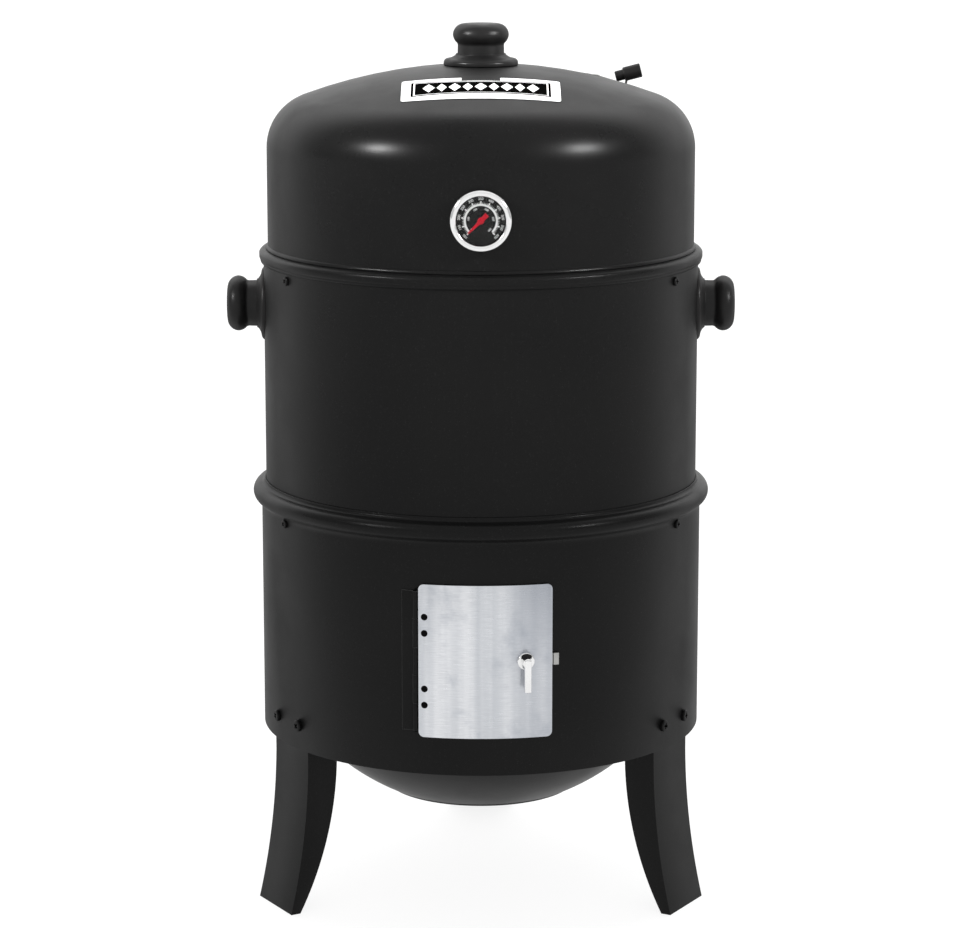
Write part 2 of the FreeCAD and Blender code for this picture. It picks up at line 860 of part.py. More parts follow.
def bracket(name, corners, screw_level):
    """A folded strip: the corners are its side view, in distance from the axis and level."""
    body = new_body(name)
    extrude(body, outline(body, corners, "XZ_Plane"), dim("bracket_width"), both_ways=True)
    cutter = ring(body, dim("screw_hole"), "YZ_Plane", 0, screw_level, 150)
    extrude(body, cutter, 80, "Pocket", backwards=True)
    return body


def make_brackets():
    gap = dim("bracket_width") / 2
    thick = dim("bracket_steel")

    def back_of(wall):
        return root(wall * wall - gap * gap) - 0.15

    outer = back_of(dim("upper_radius") - steel)
    ledge = dim("upper_ledge")
    reach = 178
    upper = [(outer - thick, ledge), (reach, ledge), (reach, ledge - thick), (outer, ledge - thick),
             (outer, dim("upper_screw_level") + 5.5), (outer - thick, dim("upper_screw_level") + 5.5)]
    outer = back_of(dim("lower_radius") - steel)
    ledge = dim("lower_ledge")
    step = 186.5
    pan = dim("pan_ledge")
    lower = [(outer, pan - 2), (outer, ledge), (step, ledge), (step, pan), (175, pan), (175, pan - thick),
             (step + thick, pan - thick), (step + thick, ledge - thick), (outer - thick, ledge - thick),
             (outer - thick, pan - 2)]
    for side, azimuth in bracket_azimuths.items():
        body = bracket(f"upper_bracket_{side}", upper, dim("upper_screw_level"))
        keep(place(body, azimuth, 0, 0, facing(azimuth)), f"upper_bracket_{side}")
        body = bracket(f"lower_bracket_{side}", lower, dim("lower_screw_level"))
        keep(place(body, azimuth, 0, 0, facing(azimuth)), f"lower_bracket_{side}")
    azimuths = list(bracket_azimuths.values())
    bolted("upper_bracket", azimuths, dim("upper_radius") + 0.05, 9, dim("upper_screw_level"),
           dim("upper_radius") - steel - 0.6 - thick)
    bolted("lower_bracket", azimuths, dim("lower_radius") + 0.05, 9, dim("lower_screw_level"),
           dim("lower_radius") - steel - 0.6 - thick)


def make_grid(label, level):
    """A welded grid: a wire ring, parallel rods across it and two stays under them."""
    ring_radius = dim("grid_radius")
    ring_wire = dim("ring_wire") / 2
    rod_wire = dim("rod_wire") / 2
    pitch = dim("rod_pitch")
    centre = level + ring_wire
    hoop = document.addObject("Part::Torus", f"hoop_{next(counter)}")
    bind(hoop, "Radius1", ring_radius)
    bind(hoop, "Radius2", ring_wire)
    bind(hoop, "Placement.Base.z", centre)
    bars = [hoop]
    rods_each_side = 11
    rod_level = centre + rod_wire * 0.8
    for number in range(-rods_each_side, rods_each_side + 1):
        bars.append(bar(rod_wire, ring_radius, number * pitch, rod_level, along_x=False))
    for side in (-1, 1):
        bars.append(bar(rod_wire, ring_radius, side * 75, rod_level - rod_wire * 1.6, along_x=True))
    grid = document.addObject("Part::MultiFuse", f"grid_{next(counter)}")
    grid.Shapes = bars
    keep(grid, label)


def bar(wire, ring_radius, offset, level, along_x):
    """A straight wire across the ring, offset from the middle, ending inside the ring's wire."""
    half = root(ring_radius * ring_radius - as_size(offset) * offset)
    rod = document.addObject("Part::Cylinder", f"bar_{next(counter)}")
    bind(rod, "Radius", wire)
    bind(rod, "Height", half * 2)
    if along_x:
        rod.Placement.Rotation = FreeCAD.Rotation(Vector(0, 1, 0), 90)
        bind(rod, "Placement.Base.x", -half)
        bind(rod, "Placement.Base.y", offset)
    else:
        rod.Placement.Rotation = FreeCAD.Rotation(Vector(1, 0, 0), -90)
        bind(rod, "Placement.Base.x", offset)
        bind(rod, "Placement.Base.y", -half)
    bind(rod, "Placement.Base.z", level)
    return rod


# ---------------------------------------------------------------- pan and bowl

def make_water_pan():
    mouth = dim("pan_mouth")
    floor = dim("pan_floor")
    depth = dim("pan_depth")
    top = dim("pan_ledge") + 0.1
    side = 150
    keep(lathe("water_pan", [
        (0, top - depth), (floor, top - depth), (mouth, top, side), (184.5, top), (184.5, top + steel),
        (mouth - 1.2, top + steel), (floor - 0.4, top - depth + steel, -(side - 1)),
        (0, top - depth + steel)]), "water_pan")


def make_charcoal_bowl():
    mouth = dim("bowl_mouth")
    floor = dim("bowl_floor")
    bottom = dim("bowl_bottom")
    top = dim("bowl_top")
    sphere = dim("bowl_sphere")
    edge = 3
    keep(lathe("charcoal_bowl", [
        (0, bottom), (floor, bottom), (floor + 2.7, bottom + 1.8, edge), (mouth, top, sphere),
        (dim("bowl_rim"), top), (dim("bowl_rim"), top + steel), (mouth - 0.6, top + steel),
        (floor + 1.9, bottom + 2.6, steel - sphere), (floor, bottom + steel, steel - edge),
        (0, bottom + steel)]), "charcoal_bowl")


# ---------------------------------------------------------------- legs

def make_legs():
    face = dim("leg_face")
    foot = dim("leg_foot")
    top = dim("leg_top")
    thick = dim("leg_steel")
    width = dim("leg_width")
    toe = foot - dim("toe_depth")
    heel = face - dim("leg_depth")
    knee = 152
    heel_knee = 150
    outer_arc = sweep(foot - face, knee)
    inner_arc = sweep(toe - heel, heel_knee)
    seat = dim("bowl_mouth") + 1.2
    side_view = [
        (toe, 0, inner_arc),
        (foot, 0),
        (face, knee, -outer_arc),
        (face, top),
        (seat, top),
        (seat, top - 3),
        (heel, heel_knee),
    ]
    beyond = heel - 6
    hollow = [
        (foot - thick, 0),
        (face - thick, knee, -(outer_arc + thick)),
        (face - thick, top - thick),
        (beyond, top - thick),
        (beyond, 0),
    ]
    spread = dim("leg_screw_spread")
    for side, azimuth in bracket_azimuths.items():
        leg = new_body(f"leg_{side}")
        extrude(leg, outline(leg, side_view, "XZ_Plane"), width, both_ways=True)
        extrude(leg, outline(leg, hollow, "XZ_Plane"), width - 2 * thick, "Pocket", both_ways=True)
        place(leg, azimuth, 0, 0, facing(azimuth))
        cutters = [hole(dim("screw_hole"), 10, azimuth + shift, face - 6, dim("leg_screw_level"))
                   for shift in (-spread, spread)]
        keep(join("Cut", f"leg_{side}", leg, cutters), f"leg_{side}")
    bolted("leg", leg_screw_azimuths(), dim("lower_radius") + 0.05, 14, dim("leg_screw_level"),
           face - thick - 1, dim("leg_head_scale"))


# ---------------------------------------------------------------- door, hinge and latch

def make_door():
    radius = dim("lower_radius")
    leaf_inside = radius + 0.4
    leaf_outside = leaf_inside + steel
    door_outside = leaf_outside + steel
    left = dim("door_left")
    right = dim("door_right")
    door = new_body("door_panel")
    profile = sector(leaf_outside, door_outside, left, right)
    extrude(door, outline(door, profile, "XY_Plane", dim("door_bottom")), dim("door_height"))
    round_edges(door, dim("door_corner"), lambda edge: edge.Length < steel.value * 1.01)
    rivets = [dim("door_bottom") + height for height in (29.7, 44.7, 96.0, 111.0)]
    cutters = [hole(1.55, 10, dim("rivet_azimuth"), radius - 4, level) for level in rivets]
    cutters.append(hole(dim("latch_shaft") + 0.06, 20, dim("latch_azimuth"), radius - 10, dim("latch_level")))
    keep(join("Cut", "door_panel", door, cutters), "door_panel")
    rivet = lathe("rivet", [
        (0, -2 * steel), (1.5, -2 * steel), (1.5, 0), (dim("rivet_radius"), 0), (1.0, 1.5, 3.2), (0, 1.5)])
    group("door_rivets", rivet, [(dim("rivet_azimuth"), door_outside, level) for level in rivets])

    knuckles = 5
    length = dim("hinge_height") / knuckles
    bottom = dim("hinge_bottom")
    axis = dim("hinge_azimuth")
    pin_x = dim("hinge_radius") * sine(axis)
    pin_y = -dim("hinge_radius") * cosine(axis)
    clear = 0.75

    def leaf(name, inner, outer, edge_start, edge_end, bridge_start, bridge_end, numbers):
        body = new_body(name)
        extrude(body, outline(body, sector(inner, outer, edge_start, edge_end), "XY_Plane", bottom),
                dim("hinge_height"))
        for number in numbers:
            start = bottom + number * length + 0.2
            extrude(body, ring(body, dim("knuckle_radius"), "XY_Plane", pin_x, pin_y, start), length - 0.4)
            extrude(body, outline(body, sector(inner, outer, bridge_start, bridge_end), "XY_Plane", start),
                    length - 0.4)
        bore = ring(body, dim("pin_radius") + 0.05, "XY_Plane", pin_x, pin_y, bottom)
        extrude(body, bore, dim("hinge_height"), "Pocket", backwards=True)
        return body

    plate = leaf("hinge_fixed_leaf", radius + 0.05, radius + 1.05, dim("plate_left"), axis - clear,
                 axis - clear - 0.2, axis, (0, 2, 4))
    keep(plate, "hinge_fixed_leaf")
    moving = leaf("hinge_moving_leaf", leaf_inside, leaf_outside, axis + clear, dim("opening_left") - 0.6,
                  axis, axis + clear + 0.2, (1, 3))
    cutters = [hole(1.55, 10, dim("rivet_azimuth"), radius - 4, level) for level in rivets]
    keep(join("Cut", "hinge_moving_leaf", moving, cutters), "hinge_moving_leaf")
    head = 0.8
    pin = lathe("hinge_pin", [
        (0, -head), (1.8, -head), (1.8, 0), (dim("pin_radius"), 0), (dim("pin_radius"), dim("hinge_height")),
        (1.8, dim("hinge_height")), (1.8, dim("hinge_height") + head), (0, dim("hinge_height") + head)])
    keep(place(pin, axis, dim("hinge_radius"), bottom, FreeCAD.Rotation()), "hinge_pin")

    half = 5.5
    keeper_end = 19.5
    keeper = new_body("door_keeper")
    flat = sector(radius + 0.05, radius + 1.05, dim("opening_right") + 0.2, keeper_end)
    raised = sector(radius + 0.05, radius + 3.0, right + 0.3, keeper_end)
    for profile in (flat, raised):
        extrude(keeper, outline(keeper, profile, "XY_Plane", dim("latch_level") - half), 2 * half)
    keep(keeper, "door_keeper")


def make_latch():
    """A lever with its shaft through the door, and a cam on the shaft behind the door."""
    azimuth = dim("latch_azimuth")
    level = dim("latch_level")
    seat = dim("lower_radius") + 2.6
    front = dim("latch_front")
    width = dim("lever_width")
    length = dim("lever_length")
    shaft = dim("latch_shaft")
    shaft_end = dim("lower_radius") - 13
    lever = new_body("latch_lever")
    lever_thickness = 5.0
    extrude(lever, ring(lever, shaft, level=shaft_end), seat - shaft_end)
    extrude(lever, ring(lever, 8.0, level=seat), 3.6)
    extrude(lever, ring(lever, 4.5, level=seat + 3.6), front - seat - 3.6)
    arm = outline(lever, [(-width / 2, -length), (width / 2, -length), (width / 2, 5), (-width / 2, 5)],
                  "XY_Plane", front - lever_thickness)
    extrude(lever, arm, lever_thickness)
    round_edges(lever, 1.2, lambda edge: edge.Length > length.value - 6
                and edge.Curve.TypeId == "Part::GeomLine")
    keep(place(lever, azimuth, 0, level), "latch_lever")

    cam = new_body("latch_cam")
    cam_seat = dim("lower_radius") - 8
    cam_thickness = 2.0
    extrude(cam, outline(cam, [(-5.5, -5.5), (11.2, -4), (11.2, 4), (-5.5, 5.5)], "XY_Plane", cam_seat),
            cam_thickness)
    extrude(cam, ring(cam, shaft + 0.05, level=cam_seat), cam_thickness, "Pocket", backwards=True)
    keep(place(cam, azimuth, 0, level), "latch_cam")
    nut_thickness = 3.0
    latch_nut = new_body("latch_nut")
    corners = [(5.8 * cosine(60 * side), 5.8 * sine(60 * side)) for side in range(6)]
    extrude(latch_nut, outline(latch_nut, corners, "XY_Plane", cam_seat - nut_thickness - 0.1), nut_thickness)
    extrude(latch_nut, ring(latch_nut, shaft, level=cam_seat - nut_thickness - 0.1), nut_thickness,
            "Pocket", backwards=True)
    keep(place(latch_nut, azimuth, 0, level), "latch_nut")


# ---------------------------------------------------------------- everything together

make_lid_shell()
make_lid_knob()
make_badge()
make_thermometer()
make_damper()
make_upper_barrel()
make_side_knobs()
make_lower_barrel()
make_brackets()
make_grid("upper_grid", dim("upper_ledge") + 0.1)
make_grid("lower_grid", dim("lower_ledge") + 0.1)
make_water_pan()
make_charcoal_bowl()
make_legs()
make_door()
make_latch()
document.recompute()

for item in document.Objects:
    if "Invalid" in item.State or "Error" in item.State:
        raise RuntimeError(f"{item.Label} did not compute: {item.State}")

os.makedirs("parts", exist_ok=True)
for piece in pieces:
    if piece.Shape.isNull() or not piece.Shape.isValid():
        raise RuntimeError(f"{piece.Label} has no valid shape")
    piece.Shape.exportStep(f"parts/{piece.Label}.step")
    print(f"{piece.Label:24s} {len(piece.Shape.Solids):3d} solids {piece.Shape.Volume / 1000:9.2f} cm3")
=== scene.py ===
import json
import math

import bmesh
import bpy
from mathutils import Matrix, Vector


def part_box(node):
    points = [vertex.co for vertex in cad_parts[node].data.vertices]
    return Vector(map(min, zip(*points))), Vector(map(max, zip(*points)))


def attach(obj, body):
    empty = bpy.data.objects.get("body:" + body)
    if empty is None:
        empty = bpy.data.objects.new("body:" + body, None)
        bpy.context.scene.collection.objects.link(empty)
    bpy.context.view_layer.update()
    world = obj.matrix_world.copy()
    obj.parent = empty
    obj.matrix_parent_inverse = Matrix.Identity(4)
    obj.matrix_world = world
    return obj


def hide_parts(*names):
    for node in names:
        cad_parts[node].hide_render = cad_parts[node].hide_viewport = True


# A black enamelled water smoker. Metres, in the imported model's frame: the origin is on the floor on
# the barrels' axis, +Z is up and the front faces -Y. Azimuths are degrees from the front towards +X.

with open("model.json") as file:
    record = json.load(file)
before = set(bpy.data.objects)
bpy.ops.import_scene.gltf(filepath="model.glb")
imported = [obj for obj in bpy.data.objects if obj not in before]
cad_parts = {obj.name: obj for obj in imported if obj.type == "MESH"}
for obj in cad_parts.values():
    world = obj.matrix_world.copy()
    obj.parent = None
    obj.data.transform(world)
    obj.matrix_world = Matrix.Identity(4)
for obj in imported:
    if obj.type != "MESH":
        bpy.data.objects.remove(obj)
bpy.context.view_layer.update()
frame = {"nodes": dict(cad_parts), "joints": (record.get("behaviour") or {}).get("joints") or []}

MM = 0.001
SHEET = 1 * MM
SEGMENTS = 192

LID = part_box("lid_shell")
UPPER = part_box("upper_barrel")
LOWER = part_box("lower_barrel")
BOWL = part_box("charcoal_bowl")
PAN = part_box("water_pan")
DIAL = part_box("thermometer_dial")
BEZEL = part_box("thermometer_bezel")
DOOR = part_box("door_panel")

LID_RADIUS = 199 * MM
UPPER_RADIUS = 203 * MM
LOWER_RADIUS = 207.2 * MM
LEG_AZIMUTHS = {"left": -60, "right": 60, "rear": 180}


# ---------------------------------------------------------------- materials

class Nodes:
    """A material's node tree, with short ways to add to it."""

    def __init__(self, name):
        self.material = bpy.data.materials.new(name)
        self.material.use_nodes = True
        self.tree = self.material.node_tree
        self.shader = self.tree.nodes["Principled BSDF"]

    def add(self, kind, inputs=None, **settings):
        node = self.tree.nodes.new(f"ShaderNode{kind}")
        for key, value in settings.items():
            setattr(node, key, value)
        for key, value in (inputs or {}).items():
            if isinstance(value, bpy.types.NodeSocket):
                self.tree.links.new(value, node.inputs[key])
            else:
                node.inputs[key].default_value = value
        return node

    def set(self, **values):
        for key, value in values.items():
            self.shader.inputs[key.replace("_", " ")].default_value = value

    def link(self, socket, name):
        self.tree.links.new(socket, self.shader.inputs[name])

    def position(self):
        return self.add("TexCoord").outputs["Object"]

    def noise(self, scale, detail=3, roughness=0.5, where=None):
        noise = self.add("TexNoise", {"Vector": where or self.position(), "Scale": scale, "Detail": detail,
                                      "Roughness": roughness})
        return noise.outputs["Fac"]

    def spread(self, value, low, high, start=0.3, end=0.7):
        """Maps a value between start and end onto low to high."""
        ramp = self.add("MapRange", {"Value": value, "From Min": start, "From Max": end,
                                     "To Min": low, "To Max": high})
        return ramp.outputs["Result"]

    def mix(self, amount, first, second):
        blend = self.add("Mix", data_type="RGBA")
        self.tree.links.new(amount, blend.inputs["Factor"])
        for key, value in ((6, first), (7, second)):
            if isinstance(value, bpy.types.NodeSocket):
                self.tree.links.new(value, blend.inputs[key])
            else:
                blend.inputs[key].default_value = (*value, 1)
        return blend.outputs[2]

    def bump(self, height, strength, distance, under=None):
        inputs = {"Height": height, "Strength": strength, "Distance": distance}
        if under is not None:
            inputs["Normal"] = under
        return self.add("Bump", inputs).outputs["Normal"]

    def glossed(self, low, high, pattern, grazing=0.30):
        """A roughness that follows a pattern and rises where the surface is seen at a grazing angle."""
        skim = self.spread(self.add("LayerWeight", {"Blend": 0.5}).outputs["Facing"], 0, grazing, 0.35, 0.70)
        base = self.spread(pattern, low, high)
        return self.add("Math", {0: base, 1: skim}, operation="ADD").outputs[0]

    def around(self, along=1.0, upwards=1.0):
        """Coordinates unrolled from a cylinder about Z: azimuth from the front, then height."""
        parts = self.add("SeparateXYZ", {"Vector": self.position()}).outputs
        forwards = self.add("Math", {0: parts["Y"], 1: -1.0}, operation="MULTIPLY").outputs[0]
        turn = self.add("Math", {0: parts["X"], 1: forwards}, operation="ARCTAN2").outputs[0]
        turn = self.add("Math", {0: turn, 1: along}, operation="MULTIPLY").outputs[0]
        height = self.add("Math", {0: parts["Z"], 1: upwards}, operation="MULTIPLY").outputs[0]
        return self.add("CombineXYZ", {"X": turn, "Y": height}).outputs["Vector"]


def make_enamel(name, tone, gloss, grazing=0.30):
    """Black porcelain enamel: a fine orange-peel skin, faint clouding and sparse pinhead specks."""
    nodes = Nodes(name)
    nodes.set(Specular_IOR_Level=0.10)
    cloud = nodes.noise(7, detail=4)
    darker = (tone, tone, tone * 1.02)
    lighter = (tone * 1.5, tone * 1.48, tone * 1.46)
    colour = nodes.mix(nodes.spread(cloud, 0, 1), darker, lighter)
    specks = nodes.spread(nodes.noise(1400, detail=0), 0, 0.35, 0.74, 0.82)
    nodes.link(nodes.mix(specks, colour, (0.05, 0.05, 0.05)), "Base Color")
    patches = nodes.noise(16, detail=5, roughness=0.6)
    nodes.link(nodes.glossed(gloss - 0.03, gloss + 0.05, patches, grazing), "Roughness")
    peel = nodes.bump(nodes.noise(420, detail=2), 0.05, 0.0004)
    nodes.link(nodes.bump(nodes.noise(60, detail=1), 0.03, 0.0008, under=peel), "Normal")
    return nodes.material


def make_phenolic():
    """Moulded black plastic: satin, with a faint flow pattern and fine pores."""
    nodes = Nodes("black_phenolic")
    nodes.set(Specular_IOR_Level=0.15)
    flow = nodes.spread(nodes.noise(34, detail=4), 0, 1)
    nodes.link(nodes.mix(flow, (0.006, 0.006, 0.006), (0.011, 0.0105, 0.0105)), "Base Color")
    nodes.link(nodes.glossed(0.30, 0.42, nodes.noise(90, detail=4)), "Roughness")
    nodes.link(nodes.bump(nodes.noise(1500, detail=2), 0.10, 0.0002), "Normal")
    return nodes.material


def make_metal(name, tone, roughness, grain=0.06, mottling=0.1):
    """Plain or plated metal: fine scratches, mottled tone and a little change of gloss."""
    nodes = Nodes(name)
    nodes.set(Metallic=1.0)
    patches = nodes.spread(nodes.noise(55, detail=5, roughness=0.6), 0, 1)
    darker = tuple(channel * (1 - mottling) for channel in tone)
    nodes.link(nodes.mix(patches, darker, tone), "Base Color")
    nodes.link(nodes.spread(nodes.noise(240, detail=4), roughness * 0.8, roughness * 1.3), "Roughness")
    nodes.link(nodes.bump(nodes.noise(900, detail=3), grain, 0.0001), "Normal")
    return nodes.material


def make_brushed():
    """Stainless sheet brushed round the barrel: long fine lines, handling marks, and painted reflection."""
    nodes = Nodes("brushed_stainless")
    nodes.set(Metallic=1.0, Anisotropic=0.45)
    fine = nodes.noise(1, detail=4, roughness=0.7, where=nodes.around(16, 1100))
    coarse = nodes.noise(1, detail=2, where=nodes.around(7, 380))
    # Upright light and dark bands in the base colour: painted reflection over the steel's own tone.
    reflection_bands = nodes.noise(1, detail=2, roughness=0.5, where=nodes.around(13, 1.5))
    marks = nodes.noise(22, detail=5, roughness=0.65)
    # Darker towards the door's right side and its top: a painted dark reflection.
    place = nodes.add("SeparateXYZ", {"Vector": nodes.position()}).outputs
    rightwards = nodes.spread(place["X"], 0, 0.85, 0.018, 0.048)
    upwards = nodes.spread(place["Z"], 0.45, 1.0, 0.25, 0.325)
    dark_reflection = nodes.add("Math", {0: rightwards, 1: upwards}, operation="MULTIPLY").outputs[0]
    colour = nodes.mix(nodes.spread(reflection_bands, 0, 1, 0.35, 0.65), (0.53, 0.55, 0.58), (0.74, 0.75, 0.77))
    colour = nodes.mix(nodes.spread(fine, 0, 0.45), colour, (0.42, 0.43, 0.46))
    colour = nodes.mix(nodes.spread(marks, 0, 0.5, 0.52, 0.72), colour, (0.30, 0.33, 0.38))
    colour = nodes.mix(dark_reflection, colour, (0.34, 0.36, 0.40))
    nodes.link(colour, "Base Color")
    rough = nodes.add("Math", {0: nodes.spread(fine, 0.24, 0.40), 1: nodes.spread(marks, -0.03, 0.06)},
                      operation="ADD").outputs[0]
    nodes.link(rough, "Roughness")
    lines = nodes.bump(fine, 0.10, 0.0001)
    nodes.link(nodes.bump(coarse, 0.06, 0.0002, under=lines), "Normal")
    return nodes.material


def make_paint(name, tone, roughness=0.35, specular=0.45):
    """Printed or sprayed paint with a fine skin."""
    nodes = Nodes(name)
    nodes.set(Specular_IOR_Level=specular)
    worn = tuple(channel * 0.88 for channel in tone)
    nodes.link(nodes.mix(nodes.spread(nodes.noise(120, detail=4), 0, 1), worn, tone), "Base Color")
    nodes.link(nodes.spread(nodes.noise(200, detail=3), roughness * 0.85, roughness * 1.2), "Roughness")
    nodes.link(nodes.bump(nodes.noise(1200, detail=2), 0.06, 0.0001), "Normal")
    return nodes.material


def make_glass():
    """Clear thin glass with faint smears."""
    nodes = Nodes("clear_glass")
    nodes.set(Transmission_Weight=1.0, IOR=1.15, Base_Color=(0.97, 0.98, 0.98, 1))
    nodes.link(nodes.spread(nodes.noise(60, detail=3), 0.01, 0.05), "Roughness")
    return nodes.material


ENAMEL = make_enamel("black_enamel", 0.0036, 0.27)
INNER_ENAMEL = make_enamel("bowl_enamel", 0.0036, 0.33, grazing=0.06)
PHENOLIC = make_phenolic()
BLACK_STEEL = make_paint("black_steel", (0.003, 0.003, 0.003), 0.35, 0.015)
ZINC = make_metal("zinc_steel", (0.40, 0.40, 0.39), 0.38, mottling=0.2)
CHROME = make_metal("chrome_plate", (0.80, 0.80, 0.80), 0.13, grain=0.02, mottling=0.05)
BRUSHED = make_brushed()
GLASS = make_glass()
DIAL_BLACK = make_paint("dial_black", (0.004, 0.004, 0.004), 0.4, 0.15)
PRINT_WHITE = make_paint("print_white", (0.86, 0.86, 0.85), 0.4)
BADGE_BLACK = make_paint("badge_black", (0.002, 0.002, 0.002), 0.5, 0.0)
NEEDLE_RED = make_paint("needle_red", (0.50, 0.008, 0.022), 0.4, 0.1)
# Grey for the hinge leaf's rounded edges: a painted highlight along them.
EDGE_HIGHLIGHT = make_paint("painted_edge_highlight", (0.11, 0.11, 0.11), 0.4)


# ---------------------------------------------------------------- mesh helpers

def curve(corners, closed=True, step=0.10):
    """Points of an outline. A corner is (x, y), or (x, y, radius) when an arc ends there."""
    points = []
    for index, corner in enumerate(corners):
        end = Vector(corner[:2])
        start = Vector(corners[index - 1][:2])
        if len(corner) == 3 and (closed or index > 0):
            points += arc(start, end, corner[2], step)
        points.append(end)
    return points


def arc(start, end, radius, step):
    """The points between two ends of a short arc, to the left of the way for a positive radius."""
    chord = end - start
    side = Vector((-chord.y, chord.x)).normalized() * math.copysign(1, radius)
    rise = math.sqrt(max(radius * radius - chord.length_squared / 4, 0))
    centre = (start + end) / 2 + side * rise
    turn = 2 * math.asin(min(chord.length / 2 / abs(radius), 1)) * math.copysign(1, radius)
    count = max(2, math.ceil(abs(turn) / step))
    arm = start - centre
    return [centre + Matrix.Rotation(turn * n / count, 2) @ arm for n in range(1, count)]


def sweep(rise, run):
    """The radius of an arc that starts along its run and has risen by rise at its end."""
    return (rise * rise + run * run) / (2 * rise)


def finish_mesh(name, mesh, material, body, sharp=32):
    """Makes the piece from a bmesh: smooth, with its hard edges kept, riding on its body."""
    bmesh.ops.recalc_face_normals(mesh, faces=mesh.faces)
    data = bpy.data.meshes.new(name)
    mesh.to_mesh(data)
    mesh.free()
    data.shade_smooth()
    data.set_sharp_from_angle(angle=math.radians(sharp))
    piece = bpy.data.objects.new(name, data)
    bpy.context.collection.objects.link(piece)
    data.materials.append(material)
    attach(piece, body)
    return piece


def lathe_mesh(points, segments=SEGMENTS):
    """A closed outline of (distance from the axis, height) turned about Z."""
    mesh = bmesh.new()
    rings = []
    for point in points:
        if point.x < 1e-6:
            rings.append([mesh.verts.new((0, 0, point.y))])
            continue
        ring = []
        for turn in range(segments):
            angle = 2 * math.pi * turn / segments
            ring.append(mesh.verts.new((point.x * math.sin(angle), -point.x * math.cos(angle), point.y)))
        rings.append(ring)
    for index, ring in enumerate(rings):
        below = rings[index - 1]
        for turn in range(segments):
            corners = [below[turn % len(below)], below[(turn + 1) % len(below)],
                       ring[(turn + 1) % len(ring)], ring[turn % len(ring)]]
            corners = list(dict.fromkeys(corners))
            if len(corners) > 2:
                mesh.faces.new(corners)
    return mesh


def outwards(azimuth, distance, level):
    """The frame of a piece whose +Z points outwards, at a distance from the axis."""
    turn = Matrix.Rotation(math.radians(azimuth), 4, "Z")
    tilt = Matrix.Rotation(math.radians(90), 4, "X")
    angle = math.radians(azimuth)
    spot = Vector((distance * math.sin(angle), -distance * math.cos(angle), level))
    return Matrix.Translation(spot) @ turn @ tilt


def prism(mesh, points, low, high):
    """Adds a flat outline of (x, y) points, extruded from low to high."""
    bottom = [mesh.verts.new((x, y, low)) for x, y in points]
    top = [mesh.verts.new((x, y, high)) for x, y in points]
    mesh.faces.new(bottom[::-1])
    mesh.faces.new(top)
    for index in range(len(points)):
        mesh.faces.new([bottom[index - 1], bottom[index], top[index], top[index - 1]])


def drum(radius, depth, segments):
    """A closed cylinder about Z, centred on the origin."""
    mesh = bmesh.new()
    bmesh.ops.create_cone(mesh, cap_ends=True, segments=segments, radius1=radius, radius2=radius,
                          depth=depth)
    return mesh


def merged(parts):
    """One bmesh of several: parts are (bmesh, frame) pairs."""
    whole = bmesh.new()
    for part, spot in parts:
        part.transform(spot)
        data = bpy.data.meshes.new("part")
        part.to_mesh(data)
        whole.from_mesh(data)
        bpy.data.meshes.remove(data)
        part.free()
    return whole


def apply_modifiers(piece):
    """Replaces a piece's mesh by what its modifiers make of it."""
    graph = bpy.context.evaluated_depsgraph_get()
    data = bpy.data.meshes.new_from_object(piece.evaluated_get(graph))
    piece.modifiers.clear()
    old = piece.data
    piece.data = data
    bpy.data.meshes.remove(old)


def cut(piece, cutters, sharp=32):
    """Takes closed cutters, (bmesh, frame) pairs, out of a piece."""
    data = bpy.data.meshes.new("cutter")
    mesh = merged(cutters)
    bmesh.ops.recalc_face_normals(mesh, faces=mesh.faces)
    mesh.to_mesh(data)
    mesh.free()
    tool = bpy.data.objects.new("cutter", data)
    bpy.context.collection.objects.link(tool)
    boolean = piece.modifiers.new("cut", "BOOLEAN")
    boolean.object = tool
    boolean.solver = "EXACT"
    bpy.context.view_layer.update()
    apply_modifiers(piece)
    bpy.data.objects.remove(tool)
    piece.data.shade_smooth()
    piece.data.set_sharp_from_angle(angle=math.radians(sharp))


def rounded_copy(node, body, material, width, angle=30, edge=None):
    """A CAD node's shape with its hard edges rounded, standing for the node; edge is their material."""
    source = frame["nodes"][node]
    mesh = bmesh.new()
    mesh.from_mesh(source.data)
    bmesh.ops.remove_doubles(mesh, verts=mesh.verts, dist=1e-6)
    bmesh.ops.dissolve_limit(mesh, angle_limit=math.radians(0.5), verts=mesh.verts, edges=mesh.edges)
    piece = finish_mesh(f"{node}_rounded", mesh, material, body)
    bevel = piece.modifiers.new("edges", "BEVEL")
    bevel.width = width
    bevel.segments = 3
    bevel.limit_method = "ANGLE"
    bevel.angle_limit = math.radians(angle)
    if edge:
        piece.data.materials.append(edge)
        bevel.material = 1
    bpy.context.view_layer.update()
    apply_modifiers(piece)
    piece.data.shade_smooth()
    piece.data.set_sharp_from_angle(angle=math.radians(40))
    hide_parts(node)
    return piece


def paint(material, *nodes):
    """Gives CAD nodes that stay as they are a better material."""
    for node in nodes:
        data = frame["nodes"][node].data
        data.materials.clear()
        data.materials.append(material)


# ---------------------------------------------------------------- lid

CROWN = 483 * MM
KNUCKLE = 50 * MM
SHOULDER = 701.3 * MM


def crown_point(inset=0):
    """Where knuckle and crown meet, and the crown's centre height, for a surface inside the lid's."""
    reach = LID_RADIUS - KNUCKLE
    between = CROWN - KNUCKLE
    drop = math.sqrt(between * between - reach * reach)
    scale = (CROWN - inset) / between
    return reach * scale, SHOULDER - drop + drop * scale, SHOULDER - drop


CROWN_CENTRE = crown_point()[2]


def crown_height(x, y, lift=0):
    """How high the crown's outer face, or one lifted off it, is above a spot."""
    return CROWN_CENTRE + math.sqrt((CROWN + lift) ** 2 - x * x - y * y)


